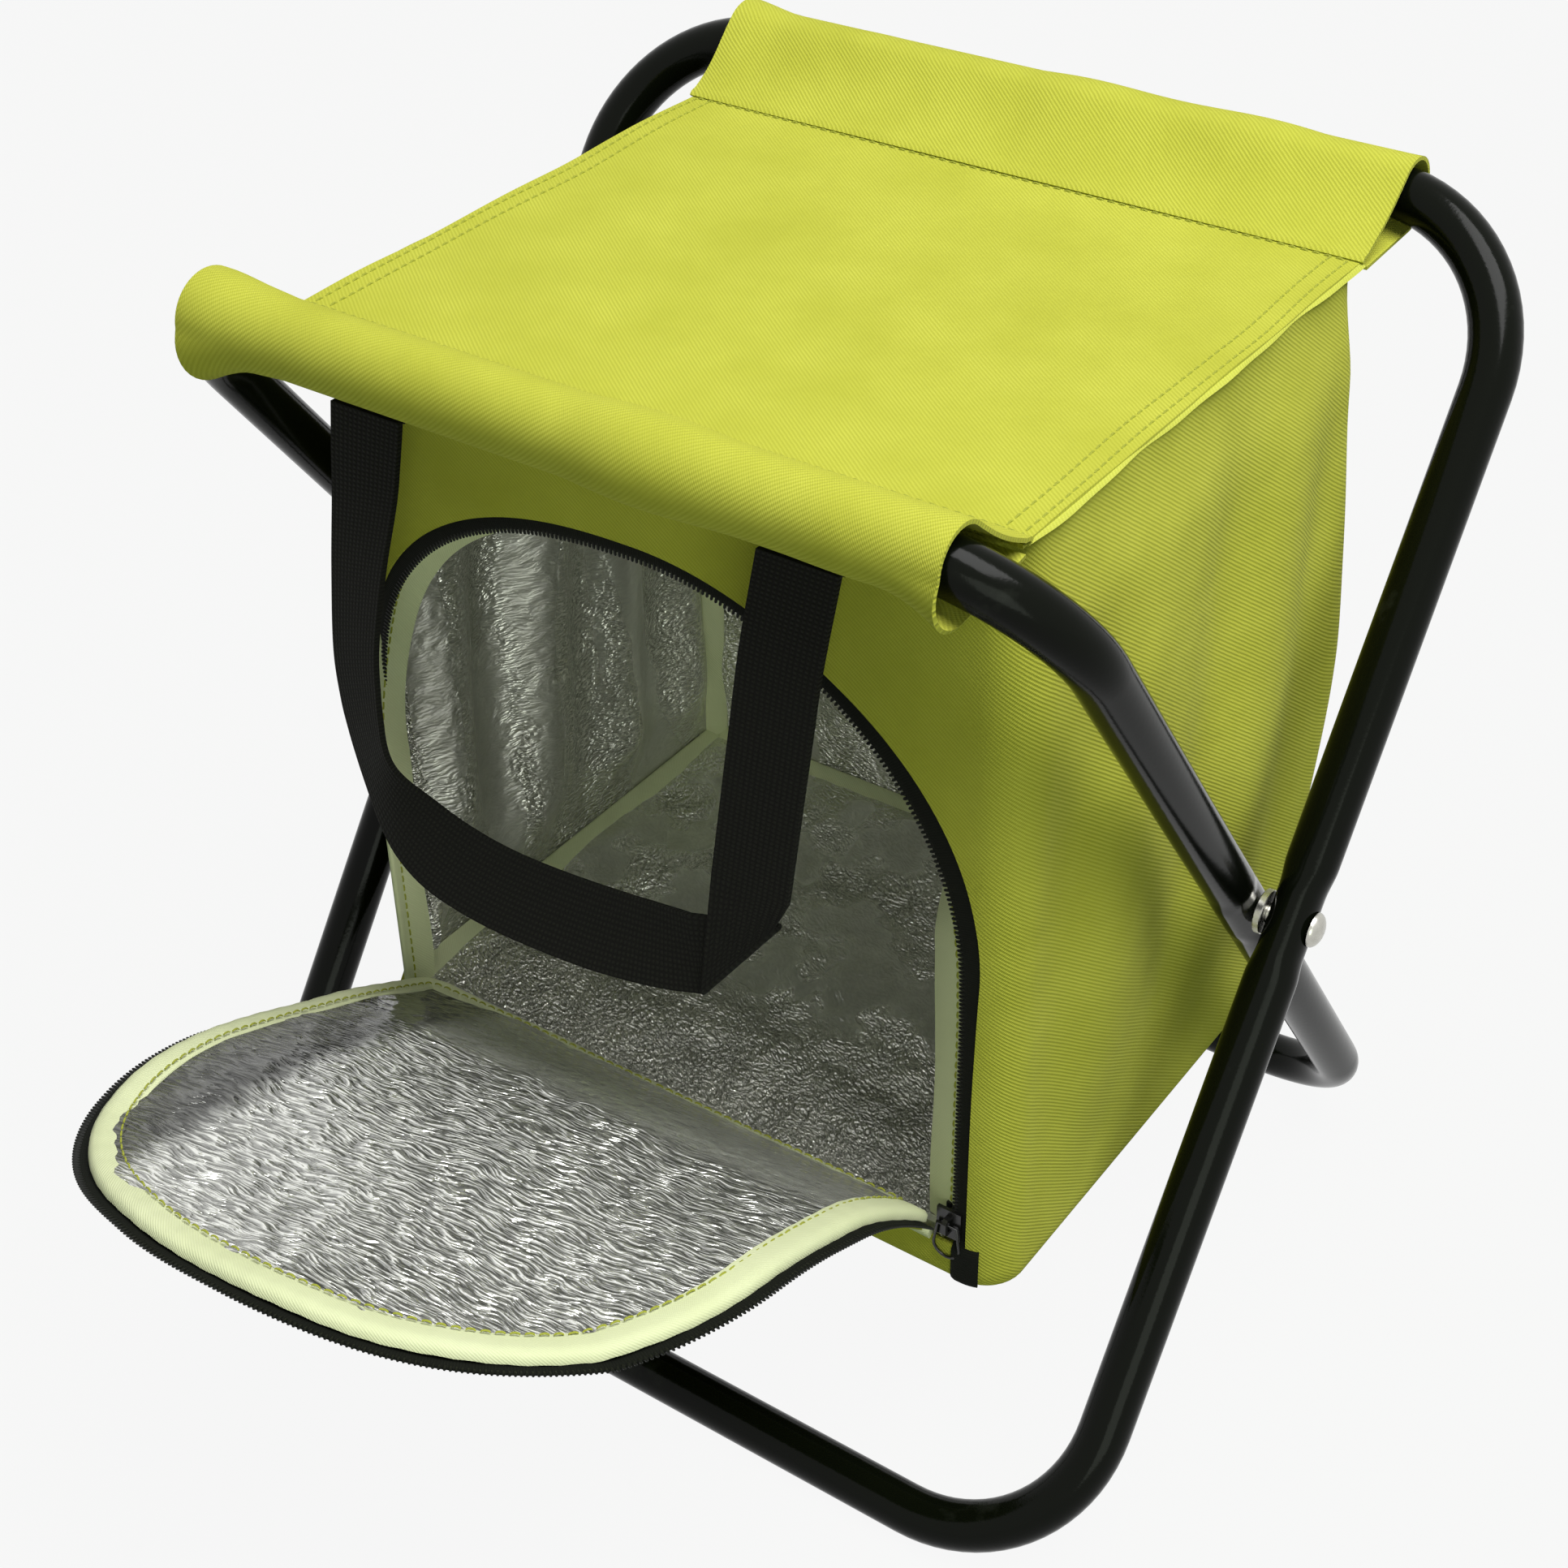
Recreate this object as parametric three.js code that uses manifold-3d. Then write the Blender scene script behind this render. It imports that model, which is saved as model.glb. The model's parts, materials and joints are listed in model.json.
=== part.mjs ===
// A folding cooler stool: two crossed loops of bent steel tube, riveted at the crossing,
// carry a fabric seat on their top bars, and an insulated bag with a zipped door hangs
// under the seat. Millimetres, +Z up, +X to the right, the door towards -Y. It stands open,
// with the door let down. The origin is on the floor under the middle of the whole object.

import * as THREE from 'three';
import { mergeVertices } from 'three/addons/utils/BufferGeometryUtils.js';
import Module from 'manifold-3d';

const wasm = await Module();
wasm.setup();

// Frames, centre line to centre line
const tubeDiameter = 16;
const outerFrameWidth = 326;
const legGap = 1;
const frameLength = 431;
const barSpread = 255;
const outerBendRadius = 51;
const innerBendRadius = 45;
const tubeSides = 20;
const bendSteps = 9;

// Pivots: the legs are pressed flat round a rivet, with a washer between them
const pressDepth = 1;
const pressFlatLength = 18;
const pressRunLength = 10;
const pressSpreadShare = 0.6;
const rivetShankDiameter = 6;
const rivetHeadDiameter = 11;
const rivetHeadHeight = 3;
const rivetTailDiameter = 9;
const rivetTailHeight = 1.6;
const washerDiameter = 14;
const roundSides = 20;
const domeSteps = 4;

// Cloth, lining and gaps between pieces that touch
const clearance = 0.3;
const clothThickness = 1.2;
const liningThickness = 2.5;
const zipThickness = 1.2;
const bindingThickness = 0.8;

// Bag and seat
const bagSideGap = 13;
const bagFloorHeight = 82;
const seatDrop = 9.5;
const seatInset = 4;
const sideBulge = 5;
const backBulge = 9;
const sheetSteps = 6;

// Sleeves round the top bars
const sleeveInset = 3;
const sleeveTail = 30;
const sleeveEase = 0.7;
const sleeveTurn = 37;
const sleeveTurnShares = [0, 1 / 2, 1];
const sleeveRoundSteps = 12;
const sleeveEndSteps = 4;

// Door opening: straight sides under an arch, closed by a zip. The arch is a superellipse that
// is fuller at the left shoulder than at the right.
const openingSideMargin = 14;
const openingTopMargin = 42;
const openingRiseShare = 0.505;
const leftFullness = 2.5;
const rightFullness = 1.9;
const hingeHeight = 16;
const hingeProud = 0.4;
const hingePipingDiameter = 2.4;
const hingePipingInset = 11;
const hingeSlack = 0.3;
const panelUnderHinge = 1.5;
const doorOpenAngle = 24;
const doorBindingWidth = 9;
const archSteps = 28;

// Zip
const zipShow = 5;
const zipSewn = 4;
const toothPitch = 6;
const toothWidth = 2.7;
const toothLength = 1.8;
const zipParting = 0.5;
const doorZipSkip = 3;
const lipOffset = 3.2;
const lipThickness = 1.2;
const lipDepth = 9;

// Slider and its wire pull
const sliderWidth = 8.4;
const sliderBackWidth = 5.4;
const sliderHeight = 11;
const sliderPlate = 1.2;
const sliderWeb = 0.4;
const sliderRise = 1.3;
const stapleWidth = 1.6;
const stapleLength = 6.4;
const stapleReach = 3;
const stapleWire = 1.2;
const pullWire = 1;
const pullWidth = 6.6;
const pullFlare = 1.2;
const pullLength = 13;
const pullSteps = 10;
const pullSides = 8;

// Carrying handles of flat webbing
const strapWidth = 25;
const strapThickness = 1.8;
const strapSpacingShare = 0.576;
const handleDropShare = 0.575;
const handleCorner = 9;
const handleLean = 5;
const tabLength = 23;
const tabDip = 5.5;

const quarterTurn = Math.PI / 2;
const halfTurn = Math.PI;
const fullTurn = 2 * Math.PI;
const weldDistance = clearance / 1000;
const tubeRadius = tubeDiameter / 2;
const tubeCornerRadius = tubeRadius / Math.cos(Math.PI / tubeSides);
const innerFrameWidth = outerFrameWidth - 2 * (tubeDiameter + legGap);
const frameHeight = Math.sqrt(frameLength ** 2 - barSpread ** 2);
const frameAngle = Math.atan2(frameHeight, barSpread);
const pivotHeight = tubeRadius + frameHeight / 2;
const topBarHeight = tubeRadius + frameHeight;
const seatTop = topBarHeight - seatDrop;
const bagWidth = innerFrameWidth - tubeDiameter - 2 * bagSideGap;
const bagHeight = seatTop - bagFloorHeight;
const bagBottom = bagFloorHeight;
const bagFront = barSpread / 2 - sleeveTail;
const hingeZ = bagBottom + hingeHeight;
const openingWidth = bagWidth - 2 * openingSideMargin;
const openingHeight = bagHeight - hingeHeight - openingTopMargin;
const openingRise = openingHeight * openingRiseShare;
const openingStraight = openingHeight - openingRise;
const strapSpacing = bagWidth * strapSpacingShare;
const handleDrop = bagHeight * handleDropShare;
const zipLineHalf = openingWidth / 2 - zipShow;
const zipLineRise = openingRise - zipShow;
const doorZipStart = panelUnderHinge + doorZipSkip * toothPitch;
const doorAngle = THREE.MathUtils.degToRad(doorOpenAngle);

const black = { color: 0x10130e, roughness: 0.25, metalness: 0.3 };
const steel = { color: 0xb4b4ac, roughness: 0.3, metalness: 1 };
const lime = { color: 0xb9c43a, roughness: 0.9, metalness: 0 };
const foil = { color: 0xa9ab9c, roughness: 0.3, metalness: 0.9 };
const paleLime = { color: 0xd3e0a8, roughness: 0.85, metalness: 0 };
const blackCloth = { color: 0x17180f, roughness: 0.8, metalness: 0 };

const stool = new THREE.Group();

// Adds one named piece, with its faces turned outwards.
function addPiece(name, geometry, finish) {
  const shape = turnOutwards(geometry);
  shape.computeVertexNormals();
  const mesh = new THREE.Mesh(shape, new THREE.MeshStandardMaterial(finish));
  mesh.name = name;
  stool.add(mesh);
  return mesh;
}

// Six times the signed volume that a mesh's triangles enclose.
function signedVolume(geometry) {
  const place = geometry.getAttribute('position');
  const index = geometry.getIndex();
  const corner = (i) => new THREE.Vector3().fromBufferAttribute(place, index.getX(i));
  let sum = 0;
  for (let i = 0; i < index.count; i += 3) {
    sum += corner(i).dot(corner(i + 1).cross(corner(i + 2)));
  }
  return sum;
}

function turnOutwards(source) {
  const bare = new THREE.BufferGeometry();
  bare.setAttribute('position', source.getAttribute('position'));
  bare.setIndex(source.getIndex());
  const geometry = mergeVertices(bare, weldDistance);
  if (signedVolume(geometry) < 0) {
    const index = geometry.getIndex();
    for (let i = 0; i < index.count; i += 3) {
      const first = index.getX(i);
      index.setX(i, index.getX(i + 1));
      index.setX(i + 1, first);
    }
  }
  return geometry;
}

function toSolid(source) {
  const geometry = turnOutwards(source);
  return new wasm.Manifold(new wasm.Mesh({
    numProp: 3,
    vertProperties: Float32Array.from(geometry.getAttribute('position').array),
    triVerts: Uint32Array.from(geometry.getIndex().array),
  }));
}

function fromSolid(solid) {
  const mesh = solid.getMesh();
  const geometry = new THREE.BufferGeometry();
  geometry.setAttribute('position', new THREE.BufferAttribute(mesh.vertProperties, 3));
  geometry.setIndex(new THREE.BufferAttribute(mesh.triVerts, 1));
  return geometry;
}

// Joins rings of equally many points into one closed skin. Where the rings run round and
// meet again there are no ends, and otherwise each end is closed by a fan.
function loft(rings, meets) {
  const count = rings[0].length;
  const points = rings.flat();
  const index = [];
  const last = meets ? rings.length : rings.length - 1;
  for (let i = 0; i < last; i++) {
    const next = (i + 1) % rings.length;
    for (let k = 0; k < count; k++) {
      const a = i * count + k;
      const b = i * count + ((k + 1) % count);
      const c = next * count + k;
      const d = next * count + ((k + 1) % count);
      index.push(a, b, d, a, d, c);
    }
  }
  if (!meets) {
    const end = (rings.length - 1) * count;
    for (let k = 1; k < count - 1; k++) {
      index.push(0, k + 1, k, end, end + k, end + k + 1);
    }
  }
  const geometry = new THREE.BufferGeometry().setFromPoints(points);
  geometry.setIndex(index);
  return geometry;
}

// A thick sheet between two surfaces, each a function of two shares from 0 to 1.
function sheet(outer, inner, steps) {
  const row = (surface, v) => {
    const points = [];
    for (let i = 0; i <= steps; i++) {
      points.push(surface(i / steps, v));
    }
    return points;
  };
  const width = steps + 1;
  const grid = [outer, inner].map((surface) => {
    const points = [];
    for (let j = 0; j <= steps; j++) {
      points.push(...row(surface, j / steps));
    }
    return points;
  });
  const half = width * width;
  const index = [];
  const quad = (a, b, c, d) => index.push(a, b, c, a, c, d);
  for (let j = 0; j < steps; j++) {
    for (let i = 0; i < steps; i++) {
      const a = j * width + i;
      quad(a, a + 1, a + 1 + width, a + width);
      quad(half + a, half + a + width, half + a + 1 + width, half + a + 1);
    }
  }
  for (let i = 0; i < steps; i++) {
    const top = steps * width;
    quad(i, half + i, half + i + 1, i + 1);
    quad(top + i, top + i + 1, half + top + i + 1, half + top + i);
    quad(i * width, (i + 1) * width, half + (i + 1) * width, half + i * width);
    const side = i * width + steps;
    quad(side, half + side, half + side + width, side + width);
  }
  const geometry = new THREE.BufferGeometry().setFromPoints(grid.flat());
  geometry.setIndex(index);
  return geometry;
}

// An extruded outline: its own x and y, and depth from one distance to another.
function plate(shape, from, to) {
  const geometry = new THREE.ExtrudeGeometry(shape, {
    depth: to - from,
    bevelEnabled: false,
    curveSegments: roundSides,
  });
  geometry.translate(0, 0, from);
  return toIndexed(geometry);
}

function toIndexed(geometry) {
  const bare = new THREE.BufferGeometry();
  bare.setAttribute('position', geometry.getAttribute('position'));
  if (geometry.getIndex()) {
    bare.setIndex(geometry.getIndex());
  }
  return mergeVertices(bare, weldDistance);
}

// A turned piece whose axis lies along X. Profile points are [radius, x].
function turned(profile) {
  const points = profile.map(([radius, x]) => new THREE.Vector2(radius, x));
  const geometry = toIndexed(new THREE.LatheGeometry(points, roundSides));
  geometry.rotateZ(-quarterTurn);
  return geometry;
}

// Frames

// Stations round a loop of tube: place across and along it, the way out of the loop there,
// and how far the tube is pressed.
function loopStations(width, bendRadius) {
  const halfAcross = width / 2 - bendRadius;
  const halfAlong = frameLength / 2 - bendRadius;
  const stations = [];
  const bend = (sideX, sideT, from) => {
    for (let i = 0; i <= bendSteps; i++) {
      const angle = from + (i / bendSteps) * quarterTurn;
      const outX = Math.cos(angle);
      const outT = Math.sin(angle);
      const x = sideX * halfAcross + bendRadius * outX;
      const t = sideT * halfAlong + bendRadius * outT;
      stations.push({ x, t, outX, outT, pressed: 0 });
    }
  };
  const leg = (side) => {
    const flat = pressFlatLength / 2;
    const run = flat + pressRunLength;
    const marks = [[-run, 0], [-flat, 1], [0, 1], [flat, 1], [run, 0]];
    for (const [t, pressed] of marks) {
      stations.push({ x: side * width / 2, t: side * t, outX: side, outT: 0, pressed });
    }
  };
  bend(1, 1, 0);
  bend(-1, 1, quarterTurn);
  leg(-1);
  bend(-1, -1, halfTurn);
  bend(1, -1, 3 * quarterTurn);
  leg(1);
  return stations;
}

// One loop of tube through the pivot, leaning back (1) or forward (-1) as it rises. One of
// the tube's facets lies flat on the floor under the bottom bar.
function frameLoop(width, bendRadius, lean) {
  const along = new THREE.Vector3(0, lean * Math.cos(frameAngle), Math.sin(frameAngle));
  const across = new THREE.Vector3(0, -lean * Math.sin(frameAngle), Math.cos(frameAngle));
  const floorAngle = Math.atan2(-Math.cos(frameAngle), Math.sin(frameAngle));
  const phase = floorAngle + Math.PI / tubeSides;
  const rings = loopStations(width, bendRadius).map((station) => {
    const out = new THREE.Vector3(station.outX, 0, 0).addScaledVector(along, station.outT);
    const centre = new THREE.Vector3(station.x, 0, pivotHeight).addScaledVector(along, station.t);
    const thick = tubeCornerRadius - station.pressed * pressDepth;
    const wide = tubeCornerRadius + station.pressed * pressDepth * pressSpreadShare;
    const ring = [];
    for (let k = 0; k < tubeSides; k++) {
      const angle = phase + (k / tubeSides) * fullTurn;
      ring.push(centre.clone()
        .addScaledVector(out, thick * Math.cos(angle))
        .addScaledVector(across, wide * Math.sin(angle)));
    }
    return ring;
  });
  const bore = new THREE.CylinderGeometry(
    rivetShankDiameter / 2 + clearance, rivetShankDiameter / 2 + clearance,
    width + 2 * tubeDiameter, roundSides);
  bore.rotateZ(quarterTurn);
  bore.translate(0, 0, pivotHeight);
  return fromSolid(toSolid(loft(rings, true)).subtract(toSolid(toIndexed(bore))));
}

addPiece('outer_frame', frameLoop(outerFrameWidth, outerBendRadius, 1), black);
addPiece('inner_frame', frameLoop(innerFrameWidth, innerBendRadius, -1), black);

// Rivets and washers, each turned about the pivot line
const pressedRadius = tubeCornerRadius - pressDepth;
const outerLegFace = outerFrameWidth / 2 + pressedRadius;
const innerLegFace = innerFrameWidth / 2 - pressedRadius;
const washerStart = innerFrameWidth / 2 + pressedRadius + clearance;
const washerEnd = outerFrameWidth / 2 - pressedRadius - clearance;

function rivet() {
  const shank = rivetShankDiameter / 2;
  const head = rivetHeadDiameter / 2;
  const tail = rivetTailDiameter / 2;
  const headStart = outerLegFace + clearance;
  const tailEnd = innerLegFace - clearance;
  const profile = [
    [0, tailEnd - rivetTailHeight], [tail, tailEnd - rivetTailHeight], [tail, tailEnd],
    [shank, tailEnd], [shank, headStart],
  ];
  for (let i = 0; i < domeSteps; i++) {
    const angle = (i / domeSteps) * quarterTurn;
    profile.push([head * Math.cos(angle), headStart + rivetHeadHeight * Math.sin(angle)]);
  }
  profile.push([0, headStart + rivetHeadHeight]);
  return turned(profile);
}

function washer() {
  const bore = rivetShankDiameter / 2 + clearance;
  const edge = washerDiameter / 2;
  return turned([
    [bore, washerStart], [edge, washerStart], [edge, washerEnd], [bore, washerEnd],
    [bore, washerStart],
  ]);
}

for (const [side, turn] of [['right', 0], ['left', halfTurn]]) {
  const pin = addPiece(`rivet_${side}`, rivet(), steel);
  const ring = addPiece(`pivot_washer_${side}`, washer(), steel);
  for (const piece of [pin, ring]) {
    piece.rotation.z = turn;
    piece.position.z = pivotHeight;
  }
}

// Sleeves: each wraps a top bar, opens out where the bar bends away, and closes in a tail
// that is sewn along the edge of the seat. The open ends leave room for the bend wherever it
// stands as the stool folds and the sleeve turns round the bar.
function sleeve(side, frameWidth, bendRadius) {
  const straight = frameWidth / 2 - bendRadius;
  const end = bagWidth / 2 - sleeveInset;
  const bar = new THREE.Vector2(side * barSpread / 2, topBarHeight);
  const turn = THREE.MathUtils.degToRad(sleeveTurn);
  const inwards = sleeveTurnShares.map((share) => {
    const angle = frameAngle - share * turn;
    return new THREE.Vector2(-side * Math.cos(angle), -Math.sin(angle));
  });
  const seam = side * (bagFront + clearance);
  const loopAt = (x, grown) => {
    const past = Math.max(0, Math.abs(x) - straight);
    const rise = Math.sqrt(bendRadius ** 2 - past ** 2);
    const lowered = inwards.map((inward) => bar.clone().addScaledVector(inward, bendRadius - rise));
    const upperRadius = tubeCornerRadius + sleeveEase + grown;
    const lowerRadius = tubeCornerRadius * bendRadius / rise + sleeveEase + grown;
    const back = grown > 0 ? 0 : side * 2 * clothThickness;
    const tipTop = new THREE.Vector2(seam + back, seatTop - (grown > 0 ? 0 : clothThickness));
    const tipDrop = grown > 0 ? 2 * clothThickness : clearance;
    const tipUnder = new THREE.Vector2(seam + back, tipTop.y - tipDrop);
    const tail = tipTop.clone().sub(bar);
    const middle = Math.atan2(tail.y, tail.x);
    const wedge = Math.acos(upperRadius / tail.length());
    const loop = [];
    for (let k = 0; k <= sleeveRoundSteps; k++) {
      const angle = middle + wedge + (k / sleeveRoundSteps) * (fullTurn - 2 * wedge);
      const out = new THREE.Vector2(Math.cos(angle), Math.sin(angle));
      const touched = [
        bar.clone().addScaledVector(out, upperRadius),
        ...lowered.map((centre) => centre.clone().addScaledVector(out, lowerRadius)),
      ];
      loop.push(touched.reduce((far, point) => (point.dot(out) > far.dot(out) ? point : far)));
    }
    loop.push(...(side < 0 ? [tipUnder, tipTop] : [tipTop, tipUnder]));
    return loop.map((p) => new THREE.Vector3(x, p.x, p.y));
  };
  const places = [];
  for (let i = 0; i <= sleeveEndSteps; i++) {
    places.push(straight + (i / sleeveEndSteps) * (end - straight));
  }
  const stations = [...places.map((x) => -x).reverse(), ...places];
  const outside = stations.map((x) => loopAt(x, clothThickness));
  const inside = stations.map((x) => loopAt(x, 0)).reverse();
  return loft([...outside, ...inside], true);
}

addPiece('front_sleeve', sleeve(-1, innerFrameWidth, innerBendRadius), lime);
addPiece('back_sleeve', sleeve(1, outerFrameWidth, outerBendRadius), lime);

// Bag walls: an outer cloth and an insulating lining on every side

// Depths of layers laid behind each other from a face, with a small gap between them.
function stack(thicknesses) {
  let depth = 0;
  return thicknesses.map((thickness) => {
    const layer = [depth, depth + thickness];
    depth += thickness + clearance;
    return layer;
  });
}

const [clothLayer, zipLayer, liningLayer, bindingLayer] = stack(
  [clothThickness, zipThickness, liningThickness, bindingThickness]);
const [wallLayer, wallLiningLayer] = stack([clothThickness, liningThickness]);

const seatHalf = bagWidth / 2 - seatInset;
const underSeat = seatTop - wallLiningLayer[1] - clearance;
const sideEnd = bagFront - wallLayer[1] - clearance;
const liningEnd = bagFront - liningLayer[1] - clearance;
const liningSide = bagWidth / 2 - wallLiningLayer[0];
const innerHalf = bagWidth / 2 - wallLiningLayer[1] - clearance;
const innerFloor = bagBottom + wallLiningLayer[1] + clearance;

// A flat rectangular layer of cloth, cut between two corners.
function flatLayer(halfX, halfY, low, high) {
  const geometry = new THREE.BoxGeometry(2 * halfX, 2 * halfY, high - low);
  geometry.translate(0, 0, (low + high) / 2);
  return toIndexed(geometry);
}

// How far a sewn wall swells at a place between its edges, as a share of its bulge.
function swell(u, v) {
  return Math.sin(Math.PI * u) * Math.sin(Math.PI * v) ** 2;
}

function sideWall(side, layer, reach, low, high) {
  const surface = (depth) => (u, v) => new THREE.Vector3(
    side * (bagWidth / 2 - depth + sideBulge * swell(u, v)),
    (2 * u - 1) * reach,
    low + v * (high - low));
  return sheet(surface(layer[0]), surface(layer[1]), sheetSteps);
}

function backWall(layer, halfX, low, high) {
  const surface = (depth) => (u, v) => new THREE.Vector3(
    (2 * u - 1) * halfX,
    bagFront - depth + backBulge * swell(u, v),
    low + v * (high - low));
  return sheet(surface(layer[0]), surface(layer[1]), sheetSteps);
}

addPiece('seat_panel',
  flatLayer(seatHalf, bagFront, seatTop - wallLayer[1], seatTop), lime);
addPiece('seat_lining',
  flatLayer(innerHalf, liningEnd, seatTop - wallLiningLayer[1], seatTop - wallLiningLayer[0]), foil);
addPiece('floor_panel',
  flatLayer(bagWidth / 2 - wallLayer[1] - clearance, sideEnd, bagBottom, bagBottom + wallLayer[1]), lime);
addPiece('floor_lining',
  flatLayer(innerHalf, liningEnd, bagBottom + wallLiningLayer[0], bagBottom + wallLiningLayer[1]), foil);
const wallTop = seatTop - wallLayer[1] - clearance;
const liningFoot = bagBottom + wallLayer[1] + clearance;
for (const [side, name] of [[1, 'right'], [-1, 'left']]) {
  addPiece(`side_panel_${name}`, sideWall(side, wallLayer, sideEnd, bagBottom, wallTop), lime);
  addPiece(`side_lining_${name}`, sideWall(side, wallLiningLayer, liningEnd, liningFoot, wallTop), foil);
}
addPiece('back_panel', backWall(wallLayer, bagWidth / 2, bagBottom, wallTop), lime);
addPiece('back_lining', backWall(wallLiningLayer, liningSide, liningFoot, wallTop), foil);

// Door opening

// A point of the line where the zip's two halves meet, moved out from it by an offset.
// The line runs from the right foot over the arch to the left foot.
const zipLine = (() => {
  const arc = [];
  for (let i = 0; i <= archSteps; i++) {
    const angle = (i / archSteps) * halfTurn;
    const power = 2 / (angle < quarterTurn ? rightFullness : leftFullness);
    const side = Math.sign(Math.cos(angle));
    const across = Math.abs(Math.cos(angle));
    const up = Math.sin(angle);
    const out = new THREE.Vector2(
      zipLineRise * side * across ** (2 - power), zipLineHalf * up ** (2 - power)).normalize();
    const place = new THREE.Vector2(
      zipLineHalf * side * across ** power, openingStraight + zipLineRise * up ** power);
    arc.push({ place, out });
  }
  return arc;
})();

// The arch moved out by an offset, with its feet at a height over the hinge.
function archPoints(offset, foot) {
  const over = zipLine.map(({ place, out }) => place.clone().addScaledVector(out, offset));
  return [
    new THREE.Vector2(zipLineHalf + offset, foot), ...over, new THREE.Vector2(-zipLineHalf - offset, foot),
  ];
}

// An arch-shaped band between two offsets, open at its feet.
function archBand(innerOffset, outerOffset, foot) {
  return new THREE.Shape([...archPoints(outerOffset, foot), ...archPoints(innerOffset, foot).reverse()]);
}

// Places along the zip line at equal steps, from one foot to the other.
function alongZip(foot) {
  const path = [
    { place: new THREE.Vector2(zipLineHalf, foot), out: new THREE.Vector2(1, 0) },
    ...zipLine,
    { place: new THREE.Vector2(-zipLineHalf, foot), out: new THREE.Vector2(-1, 0) },
  ];
  const lengths = [0];
  for (let i = 1; i < path.length; i++) {
    lengths.push(lengths[i - 1] + path[i].place.distanceTo(path[i - 1].place));
  }
  const total = lengths[lengths.length - 1];
  return {
    total,
    at(distance) {
      const next = Math.max(1, lengths.findIndex((length) => length >= distance));
      const share = (distance - lengths[next - 1]) / (lengths[next] - lengths[next - 1]);
      const place = path[next - 1].place.clone().lerp(path[next].place, share);
      const out = path[next - 1].out.clone().lerp(path[next].out, share).normalize();
      return { place, out };
    },
  };
}

// One half of the zip: a tape with a row of teeth along the edge that meets the other half.
// It lies outside (1) or inside (-1) the line where the halves meet.
function zipHalf(side, foot, phaseShare) {
  const line = alongZip(foot);
  const root = side * (zipParting + toothLength);
  const tip = side * zipParting;
  const edge = [];
  const push = (distance, offset) => {
    const { place, out } = line.at(distance);
    edge.push(place.addScaledVector(out, offset));
  };
  const count = Math.floor(line.total / toothPitch - phaseShare) - 1;
  push(0, root);
  for (let i = 0; i < count; i++) {
    const start = (i + phaseShare) * toothPitch + toothWidth / 2;
    push(start, root);
    push(start, tip);
    push(start + toothWidth, tip);
    push(start + toothWidth, root);
  }
  push(line.total, root);
  const tapeEdge = archPoints(side * (zipShow + zipSewn), foot).reverse();
  return new THREE.Shape([...edge, ...tapeEdge]);
}

// Pieces cut in the front's own plane: x across, y up from the hinge, z out from its face.
function standing(geometry) {
  geometry.rotateX(quarterTurn);
  geometry.translate(0, -bagFront, hingeZ);
  return geometry;
}

// A wall of the front, with the door opening cut in it.
function frontWall(layer, halfX, low, high, openingOffset) {
  const outline = new THREE.Shape([
    new THREE.Vector2(-halfX, low - hingeZ), new THREE.Vector2(halfX, low - hingeZ),
    new THREE.Vector2(halfX, high - hingeZ), new THREE.Vector2(-halfX, high - hingeZ),
  ]);
  outline.holes.push(new THREE.Path(archPoints(openingOffset, -panelUnderHinge)));
  return standing(plate(outline, -layer[1], -layer[0]));
}

addPiece('front_panel', frontWall(clothLayer, bagWidth / 2, bagBottom, wallTop, zipShow), lime);
addPiece('opening_zip',
  standing(plate(zipHalf(1, panelUnderHinge, 0), -zipLayer[1], -zipLayer[0])), blackCloth);
const liningOpening = lipOffset + lipThickness + clearance;
addPiece('front_lining', frontWall(liningLayer, liningSide, liningFoot, wallTop, liningOpening), foil);
addPiece('opening_binding', standing(plate(
  archBand(lipOffset, lipOffset + lipThickness, panelUnderHinge),
  -liningLayer[0] - lipDepth, -liningLayer[0])), paleLime);

// Door: its layers lie as deep as the front's own when it is shut, and the whole of it is
// let down about the piping along its foot.
const hingeY = -bagFront - hingeProud;
const door = new THREE.Group();
door.position.set(0, hingeY, hingeZ);
door.rotation.x = halfTurn - doorAngle;
stool.add(door);

const doorFoot = hingePipingDiameter / 2 + hingeSlack;

function doorOutline(inset, foot) {
  return archPoints(-inset, foot);
}

function doorLayer(shape, layer) {
  return plate(shape, -hingeProud - layer[1], -hingeProud - layer[0]);
}

function addDoorPiece(name, geometry, finish) {
  door.add(addPiece(name, geometry, finish));
}

const doorShape = () => new THREE.Shape(doorOutline(zipShow, doorFoot));
addDoorPiece('door_panel', doorLayer(doorShape(), clothLayer), lime);
addDoorPiece('door_zip', doorLayer(zipHalf(-1, doorZipStart, 1 / 2), zipLayer), blackCloth);
addDoorPiece('door_lining', doorLayer(doorShape(), liningLayer), foil);
const bindingShape = doorShape();
bindingShape.holes.push(new THREE.Path(
  doorOutline(zipShow + doorBindingWidth, doorFoot + doorBindingWidth)));
addDoorPiece('door_binding', doorLayer(bindingShape, bindingLayer), paleLime);

const piping = new THREE.CylinderGeometry(
  hingePipingDiameter / 2, hingePipingDiameter / 2,
  openingWidth - 2 * hingePipingInset, roundSides / 2);
piping.rotateZ(quarterTurn);
piping.translate(0, hingeY, hingeZ);
addPiece('door_hinge_piping', toIndexed(piping), paleLime);

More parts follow.
